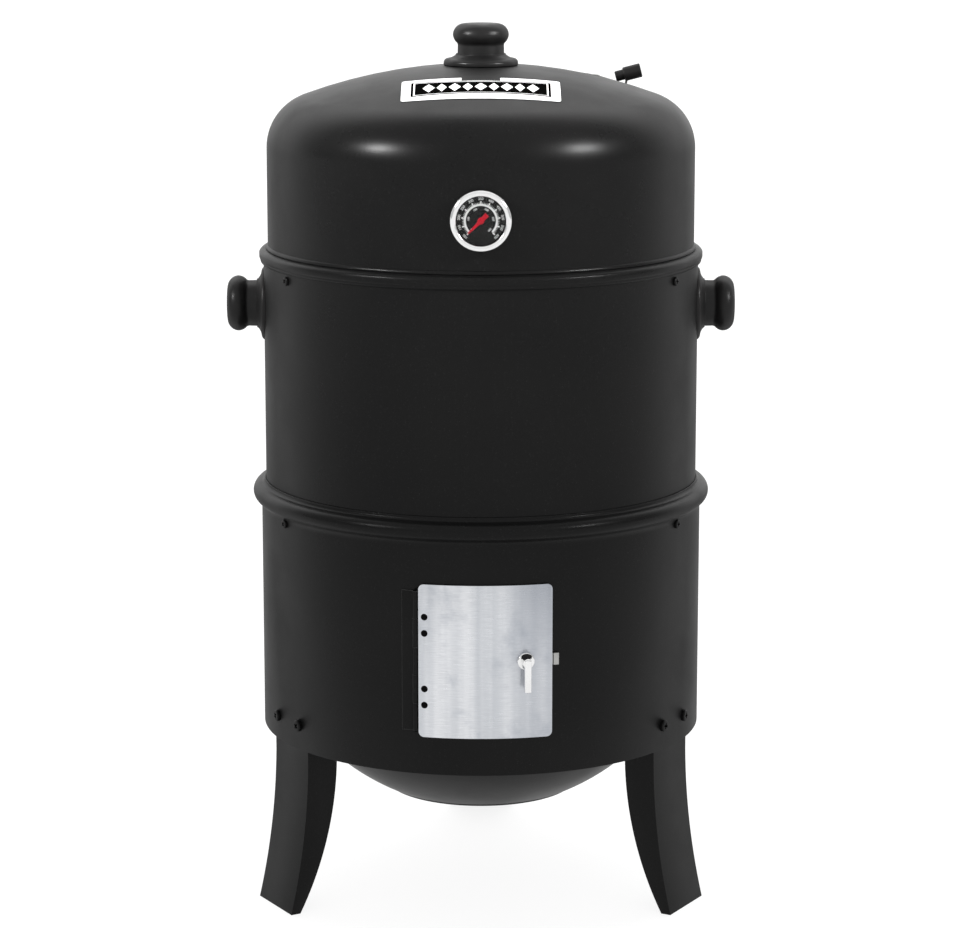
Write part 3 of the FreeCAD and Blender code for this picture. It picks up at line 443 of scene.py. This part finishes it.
def damper_frame():
    """The damper's axis on the crown, as the CAD has it: the joint gives its place and direction."""
    joint = next(j for j in frame["joints"] if j["name"] == "damper_turn")
    axis = Vector(joint["axis"])
    spot = Vector(joint["pos_m"])
    outward = Vector((spot.x, spot.y, 0)).normalized()
    along = (outward - axis * outward.dot(axis)).normalized()
    turned = Matrix((along, axis.cross(along), axis)).transposed().to_4x4()
    return Matrix.Translation(spot) @ turned


def make_lid():
    """A dome with a bead above its skirt, and three vents under the damper."""
    lip = 610 * MM
    bead = 1.8 * MM
    bead_slope = 3.1 * MM
    inside = LID_RADIUS - SHEET
    x, z, centre = crown_point()
    inner_x, inner_z, _ = crown_point(SHEET)
    outline = curve([
        (LID_RADIUS, LID[0].z),
        (LID_RADIUS, lip - bead),
        (LID_RADIUS + bead - 0.5 * MM, lip - bead),
        (LID_RADIUS + bead, lip - bead + 0.5 * MM, 0.5 * MM),
        (LID_RADIUS, lip + bead, sweep(bead, bead_slope)),
        (LID_RADIUS, SHOULDER),
        (x, z, KNUCKLE),
        (0, centre + CROWN, CROWN),
        (0, centre + CROWN - SHEET),
        (inner_x, inner_z, SHEET - CROWN),
        (inside, SHOULDER, SHEET - KNUCKLE),
        (inside, LID[0].z),
    ], step=0.05)
    shell = finish_mesh("lid_shell_fine", lathe_mesh(outline), ENAMEL, "lid")
    spot = damper_frame()
    vent_radius = 6.5 * MM
    vent_circle = 17 * MM
    vents = []
    for number in range(3):
        angle = math.radians(120 * number)
        offset = Matrix.Translation((vent_circle * math.cos(angle), vent_circle * math.sin(angle), 0))
        vents.append((drum(vent_radius, 20 * MM, 40), spot @ offset))
    cut(shell, vents)
    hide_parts("lid_shell")


KNOB_HEIGHT = 38.5 * MM


def knob_outline():
    """Half the section of a turned knob: a flange, a waist and a rounded grip."""
    flange = 34.5 * MM
    waist = 21.4 * MM
    grip = 25.9 * MM
    return curve([
        (0, 0.4 * MM),
        (flange - 1 * MM, 0.4 * MM),
        (flange, 1.2 * MM, 0.9 * MM),
        (flange, 2.4 * MM),
        (flange - 3.0 * MM, 6.4 * MM, 3.8 * MM),
        (waist + 1.7 * MM, 10.2 * MM, -14 * MM),
        (waist + 1.5 * MM, 10.9 * MM, 0.6 * MM),
        (waist + 0.2 * MM, 11.0 * MM),
        (waist, 18.0 * MM),
        (waist + 1.6 * MM, 21.6 * MM, -4.0 * MM),
        (grip, KNOB_HEIGHT - 10.2 * MM, 11 * MM),
        (grip - 10.5 * MM, KNOB_HEIGHT, 10.4 * MM),
        (0, KNOB_HEIGHT),
    ])


def make_knobs():
    """The lid's knob, and the same knob on both sides, hollowed to sit on the barrel's wall."""
    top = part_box("lid_knob")[1].z
    mesh = lathe_mesh(knob_outline(), 96)
    mesh.transform(Matrix.Translation((0, 0, top - KNOB_HEIGHT)))
    knob = finish_mesh("lid_knob_fine", mesh, PHENOLIC, "lid")
    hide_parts("lid_knob")
    for side, azimuth in (("left", -90), ("right", 90)):
        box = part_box(f"side_knob_{side}")
        level = (box[0].z + box[1].z) / 2
        face = max(abs(box[0].x), abs(box[1].x))
        mesh = lathe_mesh(knob_outline(), 96)
        mesh.transform(outwards(azimuth, face - KNOB_HEIGHT, level))
        knob = finish_mesh(f"side_knob_{side}_fine", mesh, PHENOLIC, "upper_body")
        wall = drum(UPPER_RADIUS + 0.1 * MM, 200 * MM, SEGMENTS * 2)
        cut(knob, [(wall, Matrix.Translation((0, 0, level)))])
        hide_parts(f"side_knob_{side}")


# ---------------------------------------------------------------- badge

def crown_cell(mesh, spot, across, along, low, high):
    """Adds a thin plate on the crown: spot maps its two shares onto x and y, low and high are its faces."""
    grids = []
    for lift in (low, high):
        places = [[spot(u, v) for u in across] for v in along]
        grids.append([[mesh.verts.new((x, y, crown_height(x, y, lift))) for x, y in row] for row in places])
    bottom, top = grids
    rows, columns = len(along) - 1, len(across) - 1
    for grid in grids:
        for row in range(rows):
            for column in range(columns):
                mesh.faces.new([grid[row][column], grid[row][column + 1], grid[row + 1][column + 1],
                                grid[row + 1][column]])
    edge = [(0, c) for c in range(columns)] + [(r, columns) for r in range(rows)]
    edge += [(rows, c) for c in range(columns, 0, -1)] + [(r, 0) for r in range(rows, 0, -1)]
    for index, (row, column) in enumerate(edge):
        before_row, before_column = edge[index - 1]
        mesh.faces.new([bottom[before_row][before_column], bottom[row][column], top[row][column],
                        top[before_row][before_column]])


def shares(count, corner=0.0):
    """Evenly spread shares from 0 to 1, with extra ones near both ends for a rounded corner."""
    even = [n / count for n in range(count + 1)]
    if not corner:
        return even
    extra = [corner * (1 - math.cos(math.radians(turn))) for turn in (20, 40, 60, 80)]
    return sorted(even + extra + [1 - share for share in extra])


def plaque(half, front, back, front_bow, back_bow, corner=0.0):
    """Maps shares from left to right and front to back onto a plaque whose ends bow forwards."""

    def spot(u, v):
        x = (2 * u - 1) * half
        if corner:
            short = max(0, 1 - min(v, 1 - v) * (front - back) / corner)
            x *= 1 - corner * (1 - math.sqrt(1 - short * short)) / half
        bow = front_bow + (back_bow - front_bow) * v
        return x, bow * (x / half) ** 2 - front - (back - front) * v

    return spot


def make_badge():
    """A white plate with a black panel, a thin keyline and a row of lozenges, and no lettering."""
    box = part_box("badge_plate")
    corner = 3 * MM
    bow = 6.2 * MM
    depth = 57 * MM
    notch_width, notch_depth = 35 * MM, 9.5 * MM
    print_low, print_high = 0.62 * MM, 0.78 * MM
    half = box[1].x
    front = -box[0].y
    mesh = bmesh.new()
    spot = plaque(half, front, front - depth, bow, bow, corner)
    crown_cell(mesh, spot, shares(40), shares(12, corner / depth), 0.20 * MM, 0.60 * MM)
    plate = finish_mesh("badge_plate_fine", mesh, PRINT_WHITE, "lid", sharp=40)
    notch = bmesh.new()
    size = Matrix.Diagonal((notch_width, 2 * notch_depth, 60 * MM, 1))
    bmesh.ops.create_cube(notch, size=1, matrix=size)
    cut(plate, [(notch, Matrix.Translation((0, depth - front, LID[1].z)))], sharp=40)
    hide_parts("badge_plate")

    panel = plaque(62.7 * MM, front - 11.6 * MM, 93.0 * MM, 1.6 * MM, 7.0 * MM)
    mesh = bmesh.new()
    crown_cell(mesh, panel, shares(32), shares(6), 0.50 * MM, 0.70 * MM)
    finish_mesh("badge_panel", mesh, BADGE_BLACK, "lid", sharp=40)

    mesh = bmesh.new()
    near, far = 0.018, 0.029
    edge, inner_edge = 0.060, 0.078
    upright = [edge + (1 - 2 * edge) * share for share in shares(6)]
    level = [near + (1 - 2 * near) * share for share in shares(32)]
    for start, end in ((near, far), (1 - far, 1 - near)):
        crown_cell(mesh, panel, (start, end), upright, print_low, print_high)
    for start, end in ((edge, inner_edge), (1 - inner_edge, 1 - edge)):
        crown_cell(mesh, panel, level, (start, end), print_low, print_high)
    count, pitch, half_height = 9, 0.093, 0.30
    for number in range(count):
        centre = 0.5 + (number - (count - 1) / 2) * pitch
        reach = 0.036 if number % 2 else 0.044

        def lozenge(u, v, centre=centre, reach=reach):
            return panel(centre + (u - v) * reach, 0.5 + (u + v - 1) * half_height)

        crown_cell(mesh, lozenge, shares(2), shares(2), print_low, print_high)
    finish_mesh("badge_ornament", mesh, PRINT_WHITE, "lid", sharp=40)


# ---------------------------------------------------------------- thermometer

def make_thermometer():
    """The chromed bezel, turned with a rounded front edge, and the dial's print."""
    centre_z = (DIAL[0].z + DIAL[1].z) / 2
    face = -DIAL[0].y
    spot = outwards(0, 0, centre_z)
    ring_out = (BEZEL[1].x - BEZEL[0].x) / 2
    ring_front = -BEZEL[0].y
    opening = 21.8 * MM
    back = -BEZEL[1].y
    bezel = lathe_mesh(curve([
        (ring_out - 1.3 * MM, back),
        (ring_out - 0.3 * MM, back),
        (ring_out, back + 0.4 * MM, 0.5 * MM),
        (ring_out, ring_front - 3.2 * MM),
        (ring_out - 3.0 * MM, ring_front, 3.2 * MM),
        (opening + 0.8 * MM, ring_front - 0.5 * MM, 6 * MM),
        (opening, ring_front - 1.7 * MM, 1.6 * MM),
        (opening, ring_front - 2.6 * MM),
        (ring_out - 1.3 * MM, ring_front - 3.0 * MM),
    ]), 160)
    bezel.transform(spot)
    piece = finish_mesh("thermometer_bezel_fine", bezel, CHROME, "lid")
    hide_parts("thermometer_bezel")
    paint(DIAL_BLACK, "thermometer_dial")
    make_scale(spot, face)


def make_scale(spot, face):
    """The printed scale: a ring with ticks, and numbers, just proud of the dial."""
    start, finish_angle = -135, 135
    inner, outer, tip = 13.1 * MM, 14.9 * MM, 17.2 * MM
    low, lift = face + 0.02 * MM, face + 0.12 * MM
    marks = bmesh.new()
    steps = 90
    angles = [math.radians(start + (finish_angle - start) * step / steps) for step in range(steps + 1)]
    rim = [(outer * math.sin(angle), outer * math.cos(angle)) for angle in angles]
    rim += [(inner * math.sin(angle), inner * math.cos(angle)) for angle in reversed(angles)]
    prism(marks, rim, low, lift)
    major, minor = 10, 5
    for tick in range(major * minor + 1):
        angle = math.radians(start + (finish_angle - start) * tick / (major * minor))
        is_major = tick % minor == 0
        direction = Vector((math.sin(angle), math.cos(angle)))
        side = Vector((direction.y, -direction.x)) * (0.6 * MM if is_major else 0.22 * MM)
        end = direction * (tip if is_major else tip - 1.1 * MM)
        base = direction * (outer - 0.3 * MM)
        prism(marks, [tuple(corner) for corner in (base - side, base + side, end + side, end - side)],
              low + 0.01 * MM, lift - 0.01 * MM)
    marks.transform(spot)
    finish_mesh("thermometer_ticks", marks, PRINT_WHITE, "lid")
    numbers(spot, lift, 19.3 * MM, 3.2 * MM, start, finish_angle,
            [str(value) for value in range(100, 601, 50)], "outer")
    numbers(spot, lift, 10.9 * MM, 2.5 * MM, start, finish_angle,
            [str(value) for value in range(50, 301, 50)], "inner")


def numbers(spot, level, radius, size, start, finish_angle, words, name):
    """Numbers round the dial, each upright along its radius, as one flat mesh."""
    parts = []
    for index, word in enumerate(words):
        text = bpy.data.curves.new(f"number_{name}", "FONT")
        text.body = word
        text.size = size
        text.align_x = "CENTER"
        text.align_y = "CENTER"
        text.offset = 0.04 * MM
        text.extrude = 0.03 * MM
        holder = bpy.data.objects.new(f"number_{name}", text)
        bpy.context.collection.objects.link(holder)
        bpy.context.view_layer.update()
        graph = bpy.context.evaluated_depsgraph_get()
        data = bpy.data.meshes.new_from_object(holder.evaluated_get(graph))
        bpy.data.objects.remove(holder)
        mesh = bmesh.new()
        mesh.from_mesh(data)
        bpy.data.meshes.remove(data)
        angle = math.radians(start + (finish_angle - start) * index / (len(words) - 1))
        turn = Matrix.Rotation(-angle, 4, "Z")
        parts.append((mesh, spot @ turn @ Matrix.Translation((0, radius, level))))
    finish_mesh(f"thermometer_numbers_{name}", merged(parts), PRINT_WHITE, "lid")


# ---------------------------------------------------------------- damper

def make_damper_grip():
    """The stepped black grip along the damper's handle."""
    rounded_copy("damper_grip", "damper", PHENOLIC, 0.25 * MM)


# ---------------------------------------------------------------- barrels

def make_upper_barrel():
    """A rolled sheet that steps out to a rounded rim, whose shelf takes the lid's bead."""
    inside = UPPER_RADIUS - SHEET
    bottom = UPPER[0].z
    top = UPPER[1].z
    peak = UPPER[1].x
    rounding = 3.5 * MM
    low = top - 13.8 * MM
    lip = 199.4 * MM
    flare = (peak - UPPER_RADIUS) / 2
    shelf = 5.5 * MM
    outline = curve([
        (UPPER_RADIUS, bottom),
        (UPPER_RADIUS, low),
        (UPPER_RADIUS + flare, low + rounding, -sweep(flare, rounding)),
        (peak, low + 2 * rounding, sweep(flare, rounding)),
        (peak, top - rounding),
        (peak - shelf, top, sweep(rounding, shelf)),
        (lip, top),
        (lip, top - SHEET),
        (peak - rounding, top - SHEET),
        (peak - SHEET, top - rounding, SHEET - rounding),
        (peak - SHEET, low + rounding),
        (peak - rounding, low + SHEET, SHEET - rounding),
        (inside, low + SHEET),
        (inside, bottom),
    ], step=0.12)
    barrel = finish_mesh("upper_barrel_fine", lathe_mesh(outline), ENAMEL, "upper_body")
    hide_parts("upper_barrel")


def make_lower_barrel():
    """A rolled sheet with a door opening; a round bead and a short collar on top take the upper barrel."""
    bottom = LOWER[0].z
    top = LOWER[1].z
    bead = 8.4 * MM
    fillet = 3.6 * MM
    middle = 378.8 * MM
    centre = LOWER[1].x - bead
    inside = LOWER_RADIUS - SHEET
    collar = UPPER_RADIUS + 0.4 * MM + SHEET
    wide_fillet = 9.0 * MM

    def fillet_height(wall, curve_radius):
        return math.sqrt((bead + curve_radius) ** 2 - (wall + curve_radius - centre) ** 2)

    def meeting(wall, curve_radius, up, thickness):
        """Where the bead's surface, a thickness inside its outer one, meets the fillet beside a wall."""
        share = (bead - thickness) / (bead + curve_radius)
        rise = fillet_height(wall, curve_radius) * share
        return centre + (wall + curve_radius - centre) * share, middle + up * rise

    foot = middle - fillet_height(LOWER_RADIUS, wide_fillet)
    neck = middle + fillet_height(collar, fillet)
    outline = curve([
        (inside, bottom + 0.3 * MM),
        (inside + 0.4 * MM, bottom),
        (LOWER_RADIUS - 0.3 * MM, bottom),
        (LOWER_RADIUS, bottom + 0.5 * MM),
        (LOWER_RADIUS, foot),
        (*meeting(LOWER_RADIUS, wide_fillet, -1, 0), -wide_fillet),
        (LOWER[1].x, middle, bead),
        (*meeting(collar, fillet, 1, 0), bead),
        (collar, neck, -fillet),
        (collar, top - 0.4 * MM),
        (collar - 0.4 * MM, top, 0.4 * MM),
        (collar - SHEET, top),
        (collar - SHEET, neck),
        (*meeting(collar, fillet, 1, SHEET), fillet + SHEET),
        (LOWER[1].x - SHEET, middle, SHEET - bead),
        (*meeting(LOWER_RADIUS, wide_fillet, -1, SHEET), SHEET - bead),
        (inside, foot, wide_fillet + SHEET),
    ], step=0.10)
    barrel = finish_mesh("lower_barrel_fine", lathe_mesh(outline), ENAMEL, "base")
    margin = 8 * MM
    left, right = math.radians(-11.5), math.radians(14.3)
    steps = 12
    angles = [left + (right - left) * step / steps for step in range(steps + 1)]
    near, far = inside - 12 * MM, LOWER_RADIUS + 8 * MM
    points = [(near * math.sin(angle), -near * math.cos(angle)) for angle in angles]
    points += [(far * math.sin(angle), -far * math.cos(angle)) for angle in reversed(angles)]
    opening = bmesh.new()
    prism(opening, points, DOOR[0].z + margin, DOOR[1].z - margin)
    cut(barrel, [(opening, Matrix.Identity(4))])
    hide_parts("lower_barrel")


def make_bowls():
    """The charcoal bowl and the water pan: a flat floor, curved sides and a flat rim."""
    mouth = 190 * MM
    floor = 88 * MM
    bottom = BOWL[0].z
    top = BOWL[1].z - SHEET
    sphere = 215 * MM
    edge = 3 * MM
    rim = BOWL[1].x
    outline = curve([
        (0, bottom),
        (floor, bottom),
        (floor + 2.7 * MM, bottom + 1.8 * MM, edge),
        (mouth, top, sphere),
        (rim, top),
        (rim, top + SHEET),
        (mouth - 0.6 * MM, top + SHEET),
        (floor + 1.9 * MM, bottom + 2.6 * MM, SHEET - sphere),
        (floor, bottom + SHEET, SHEET - edge),
        (0, bottom + SHEET),
    ], step=0.04)
    bowl = finish_mesh("charcoal_bowl_fine", lathe_mesh(outline), INNER_ENAMEL, "charcoal_bowl")
    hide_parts("charcoal_bowl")

    mouth = 173 * MM
    floor = 95 * MM
    bottom = PAN[0].z
    top = PAN[1].z - SHEET
    side = 150 * MM
    rim = PAN[1].x
    outline = curve([
        (0, bottom),
        (floor, bottom),
        (mouth, top, side),
        (rim, top),
        (rim, top + SHEET),
        (mouth - 1.2 * MM, top + SHEET),
        (floor - 0.4 * MM, bottom + SHEET, SHEET - side),
        (0, bottom + SHEET),
    ], step=0.04)
    pan = finish_mesh("water_pan_fine", lathe_mesh(outline), INNER_ENAMEL, "water_pan")
    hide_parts("water_pan")


# ---------------------------------------------------------------- fasteners

def pan_head_screw(length, scale):
    """A screw along Z with a pan head, its seat at height 0."""
    radius = 4.1 * MM * scale
    top = 2.8 * MM * scale
    shank = 2.3 * MM
    return lathe_mesh(curve([
        (0, -length),
        (shank, -length),
        (shank, 0),
        (radius, 0),
        (radius, top * 0.55),
        (radius - 1.1 * MM, top - 0.2 * MM, 1.2 * MM),
        (0, top, radius * 3),
    ]), 40)


def screw_set(name, body, azimuths, distance, level, length, scale):
    """One set of screws with cross recesses, standing for the CAD's set."""
    parts = [(pan_head_screw(length, scale), outwards(azimuth, distance, level)) for azimuth in azimuths]
    piece = finish_mesh(f"{name}_fine", merged(parts), ENAMEL, body)
    reach, half, depth = 2.1 * MM * scale, 0.65 * MM * scale, 0.9 * MM * scale
    quarter = [(half, half), (half, reach), (-half, reach)]
    cross = [Matrix.Rotation(math.radians(turn), 2) @ Vector(corner) for turn in (0, 90, 180, 270)
             for corner in quarter]
    recesses = []
    for azimuth in azimuths:
        recess = bmesh.new()
        prism(recess, cross, depth, 6 * MM)
        spin = Matrix.Rotation(math.radians(20 + azimuth), 4, "Z")
        recesses.append((recess, outwards(azimuth, distance, level) @ spin))
    cut(piece, recesses)
    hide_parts(name)


def make_screws():
    """One screw for each bracket, and two for each leg."""
    sides = list(LEG_AZIMUTHS.values())
    spread = 5.75
    leg_azimuths = [azimuth + side * spread for azimuth in sides for side in (-1, 1)]
    for name, body, azimuths, wall, length, scale in (
            ("upper_bracket_screws", "upper_body", sides, UPPER_RADIUS, 9 * MM, 1.0),
            ("lower_bracket_screws", "base", sides, LOWER_RADIUS, 9 * MM, 1.0),
            ("leg_screws", "base", leg_azimuths, LOWER_RADIUS, 14 * MM, 1.3)):
        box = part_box(name)
        level = (box[0].z + box[1].z) / 2
        screw_set(name, body, azimuths, wall + 0.05 * MM, level, length, scale)


# ---------------------------------------------------------------- remaining pieces

def make_latch():
    """A bright hub and lever on the door, with a dark piece above the lever: a painted dark reflection on
    the hub.
    """
    joint = next(j for j in frame["joints"] if j["name"] == "latch_turn")
    x, y, level = joint["pos_m"]
    spot = outwards(math.degrees(math.atan2(x, -y)), 0, level)
    seat = LOWER_RADIUS + 2.6 * MM
    hub_top = seat + 3.6 * MM
    front = 222.5 * MM
    hub, boss, shaft = 8.0 * MM, 4.4 * MM, 3.0 * MM
    body = lathe_mesh(curve([
        (0, LOWER_RADIUS - 13 * MM),
        (shaft, LOWER_RADIUS - 13 * MM),
        (shaft, seat),
        (hub - 0.3 * MM, seat),
        (hub, seat + 0.3 * MM),
        (hub, hub_top - 1.5 * MM),
        (hub - 1.6 * MM, hub_top, 1.7 * MM),
        (boss, hub_top),
        (boss, front - 1.2 * MM),
        (0, front - 1.0 * MM),
    ]), 64)
    half, end, start, thick = 3.1 * MM, -27 * MM, 3.4 * MM, 4.4 * MM
    arm = bmesh.new()
    prism(arm, [(-half, end), (half, end), (half, start), (-half, start)], front - thick, front)
    bmesh.ops.bevel(arm, geom=arm.edges[:], offset=1.3 * MM, segments=4, affect="EDGES", profile=0.5)
    whole = merged([(body, spot), (arm, spot)])
    lever = finish_mesh("latch_lever_fine", whole, CHROME, "latch")
    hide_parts("latch_lever")
    # A dark phenolic piece over the hub's top: a painted dark reflection on the chrome.
    hub_reflection = bmesh.new()
    reach, bottom, steps = 7.2 * MM, 3.0 * MM, 16
    first = math.radians(50)
    angles = [first + (math.pi - 2 * first) * step / steps for step in range(steps + 1)]
    side = reach * math.cos(first)
    rim = [(reach * math.cos(angle), reach * math.sin(angle)) for angle in angles]
    prism(hub_reflection, [(side, bottom)] + rim + [(-side, bottom)], hub_top - 0.6 * MM, hub_top + 1.6 * MM)
    hub_reflection.transform(spot)
    finish_mesh("latch_hub_reflection", hub_reflection, PHENOLIC, "latch")


def dress_the_rest():
    """Rounded edges for the bent sheet pieces, and materials for the nodes that stay as they are."""
    for side in LEG_AZIMUTHS:
        rounded_copy(f"leg_{side}", "base", ENAMEL, 0.5 * MM)
        paint(ENAMEL, f"upper_bracket_{side}", f"lower_bracket_{side}")
    # The hinge leaf's rounded edges are grey: a painted highlight.
    rounded_copy("hinge_fixed_leaf", "base", ENAMEL, 0.45 * MM, edge=EDGE_HIGHLIGHT)
    rounded_copy("door_panel", "door", BRUSHED, 0.3 * MM)
    rounded_copy("door_keeper", "base", ZINC, 0.4 * MM)
    paint(ENAMEL, "hinge_moving_leaf", "damper_disc", "damper_handle")
    paint(BLACK_STEEL, "door_rivets", "hinge_pin")
    paint(CHROME, "upper_grid", "lower_grid")
    paint(ZINC, "latch_cam", "latch_nut", "lower_bracket_nuts", "upper_bracket_nuts",
          "leg_nuts", "side_knob_screws", "side_knob_washers", "lid_knob_screw",
          "lid_knob_washer", "thermometer_nut", "thermometer_stem", "thermometer_case", "thermometer_coil",
          "damper_rivet", "damper_spring_washer")
    paint(GLASS, "thermometer_lens")
    paint(NEEDLE_RED, "thermometer_needle")


# ---------------------------------------------------------------- floor, light and camera

def make_stage():
    """A plain pale floor, lit from below like a light table, so that shadows on it stay faint."""
    nodes = Nodes("studio_floor")
    nodes.link(nodes.mix(nodes.noise(1.5, detail=2), (0.16, 0.16, 0.16), (0.20, 0.20, 0.20)), "Base Color")
    nodes.set(Roughness=0.9, Specular_IOR_Level=0.1, Emission_Color=(1, 1, 1, 1), Emission_Strength=0.86)
    mesh = bmesh.new()
    bmesh.ops.create_grid(mesh, x_segments=2, y_segments=2, size=30)
    data = bpy.data.meshes.new("studio_floor")
    mesh.to_mesh(data)
    mesh.free()
    floor = bpy.data.objects.new("studio_floor", data)
    bpy.context.collection.objects.link(floor)
    data.materials.append(nodes.material)


def area_light(name, azimuth, elevation, distance, width, height, power, beam, target):
    """A soft box with a beam so many degrees wide, aimed at its target."""
    light = bpy.data.lights.new(name, "AREA")
    light.shape = "RECTANGLE"
    light.size = width
    light.size_y = height
    light.energy = power
    light.spread = math.radians(beam)
    holder = bpy.data.objects.new(name, light)
    bpy.context.collection.objects.link(holder)
    turn, rise = math.radians(azimuth), math.radians(elevation)
    direction = Vector((math.sin(turn) * math.cos(rise), -math.cos(turn) * math.cos(rise), math.sin(rise)))
    holder.location = target + direction * distance
    holder.rotation_euler = (-direction).to_track_quat("-Z", "Y").to_euler()
    return holder


def make_lights():
    """A white room, darker to the sides, a bright backdrop, and a soft box for each side of the lid."""
    backdrop = 3.0
    world = bpy.data.worlds.new("studio")
    bpy.context.scene.world = world
    world.use_nodes = True
    tree = world.node_tree
    direction = tree.nodes.new("ShaderNodeTexCoord")
    parts = tree.nodes.new("ShaderNodeSeparateXYZ")
    sideways = tree.nodes.new("ShaderNodeMath")
    sideways.operation = "ABSOLUTE"
    tree.links.new(direction.outputs["Generated"], parts.inputs[0])
    tree.links.new(parts.outputs["X"], sideways.inputs[0])

    def ramp(value, start, end, low, high):
        node = tree.nodes.new("ShaderNodeMapRange")
        node.interpolation_type = "SMOOTHSTEP"
        for key, number in (("From Min", start), ("From Max", end), ("To Min", low), ("To Max", high)):
            node.inputs[key].default_value = number
        tree.links.new(value, node.inputs["Value"])
        return node.outputs["Result"]

    strength = tree.nodes.new("ShaderNodeMath")
    strength.operation = "MULTIPLY"
    tree.links.new(ramp(sideways.outputs[0], 0.35, 0.95, 1.0, 0.5), strength.inputs[0])
    tree.links.new(ramp(parts.outputs["Y"], 0.0, 0.7, 1.0, backdrop), strength.inputs[1])
    tree.links.new(strength.outputs[0], tree.nodes["Background"].inputs["Strength"])
    tree.nodes["Background"].inputs["Color"].default_value = (1, 1, 1, 1)
    knuckle = Vector((0, 0, SHOULDER + KNUCKLE * 0.3))
    for side in (-1, 1):
        area_light("soft_box", side * 58, 25, 2.6, 0.5, 0.4, 1.15, 16, knuckle)


def make_camera():
    """Above the lid's height and well in front, looking slightly down."""
    distance = 3.084
    height = 1.0081
    downwards = 11.23
    camera = bpy.data.cameras.new("camera")
    camera.sensor_width = 36
    camera.lens = 124.39
    camera.shift_x = -0.0009
    camera.shift_y = 0.0047
    camera.clip_end = 100
    holder = bpy.data.objects.new("camera", camera)
    bpy.context.collection.objects.link(holder)
    holder.location = (0, -distance, height)
    holder.rotation_euler = (math.radians(90 - downwards), 0, 0)
    bpy.context.scene.camera = holder


bpy.context.scene.view_settings.view_transform = "Standard"
make_lid()
make_knobs()
make_badge()
make_thermometer()
make_damper_grip()
make_upper_barrel()
make_lower_barrel()
make_bowls()
make_screws()
make_latch()
dress_the_rest()
make_stage()
make_lights()
make_camera()
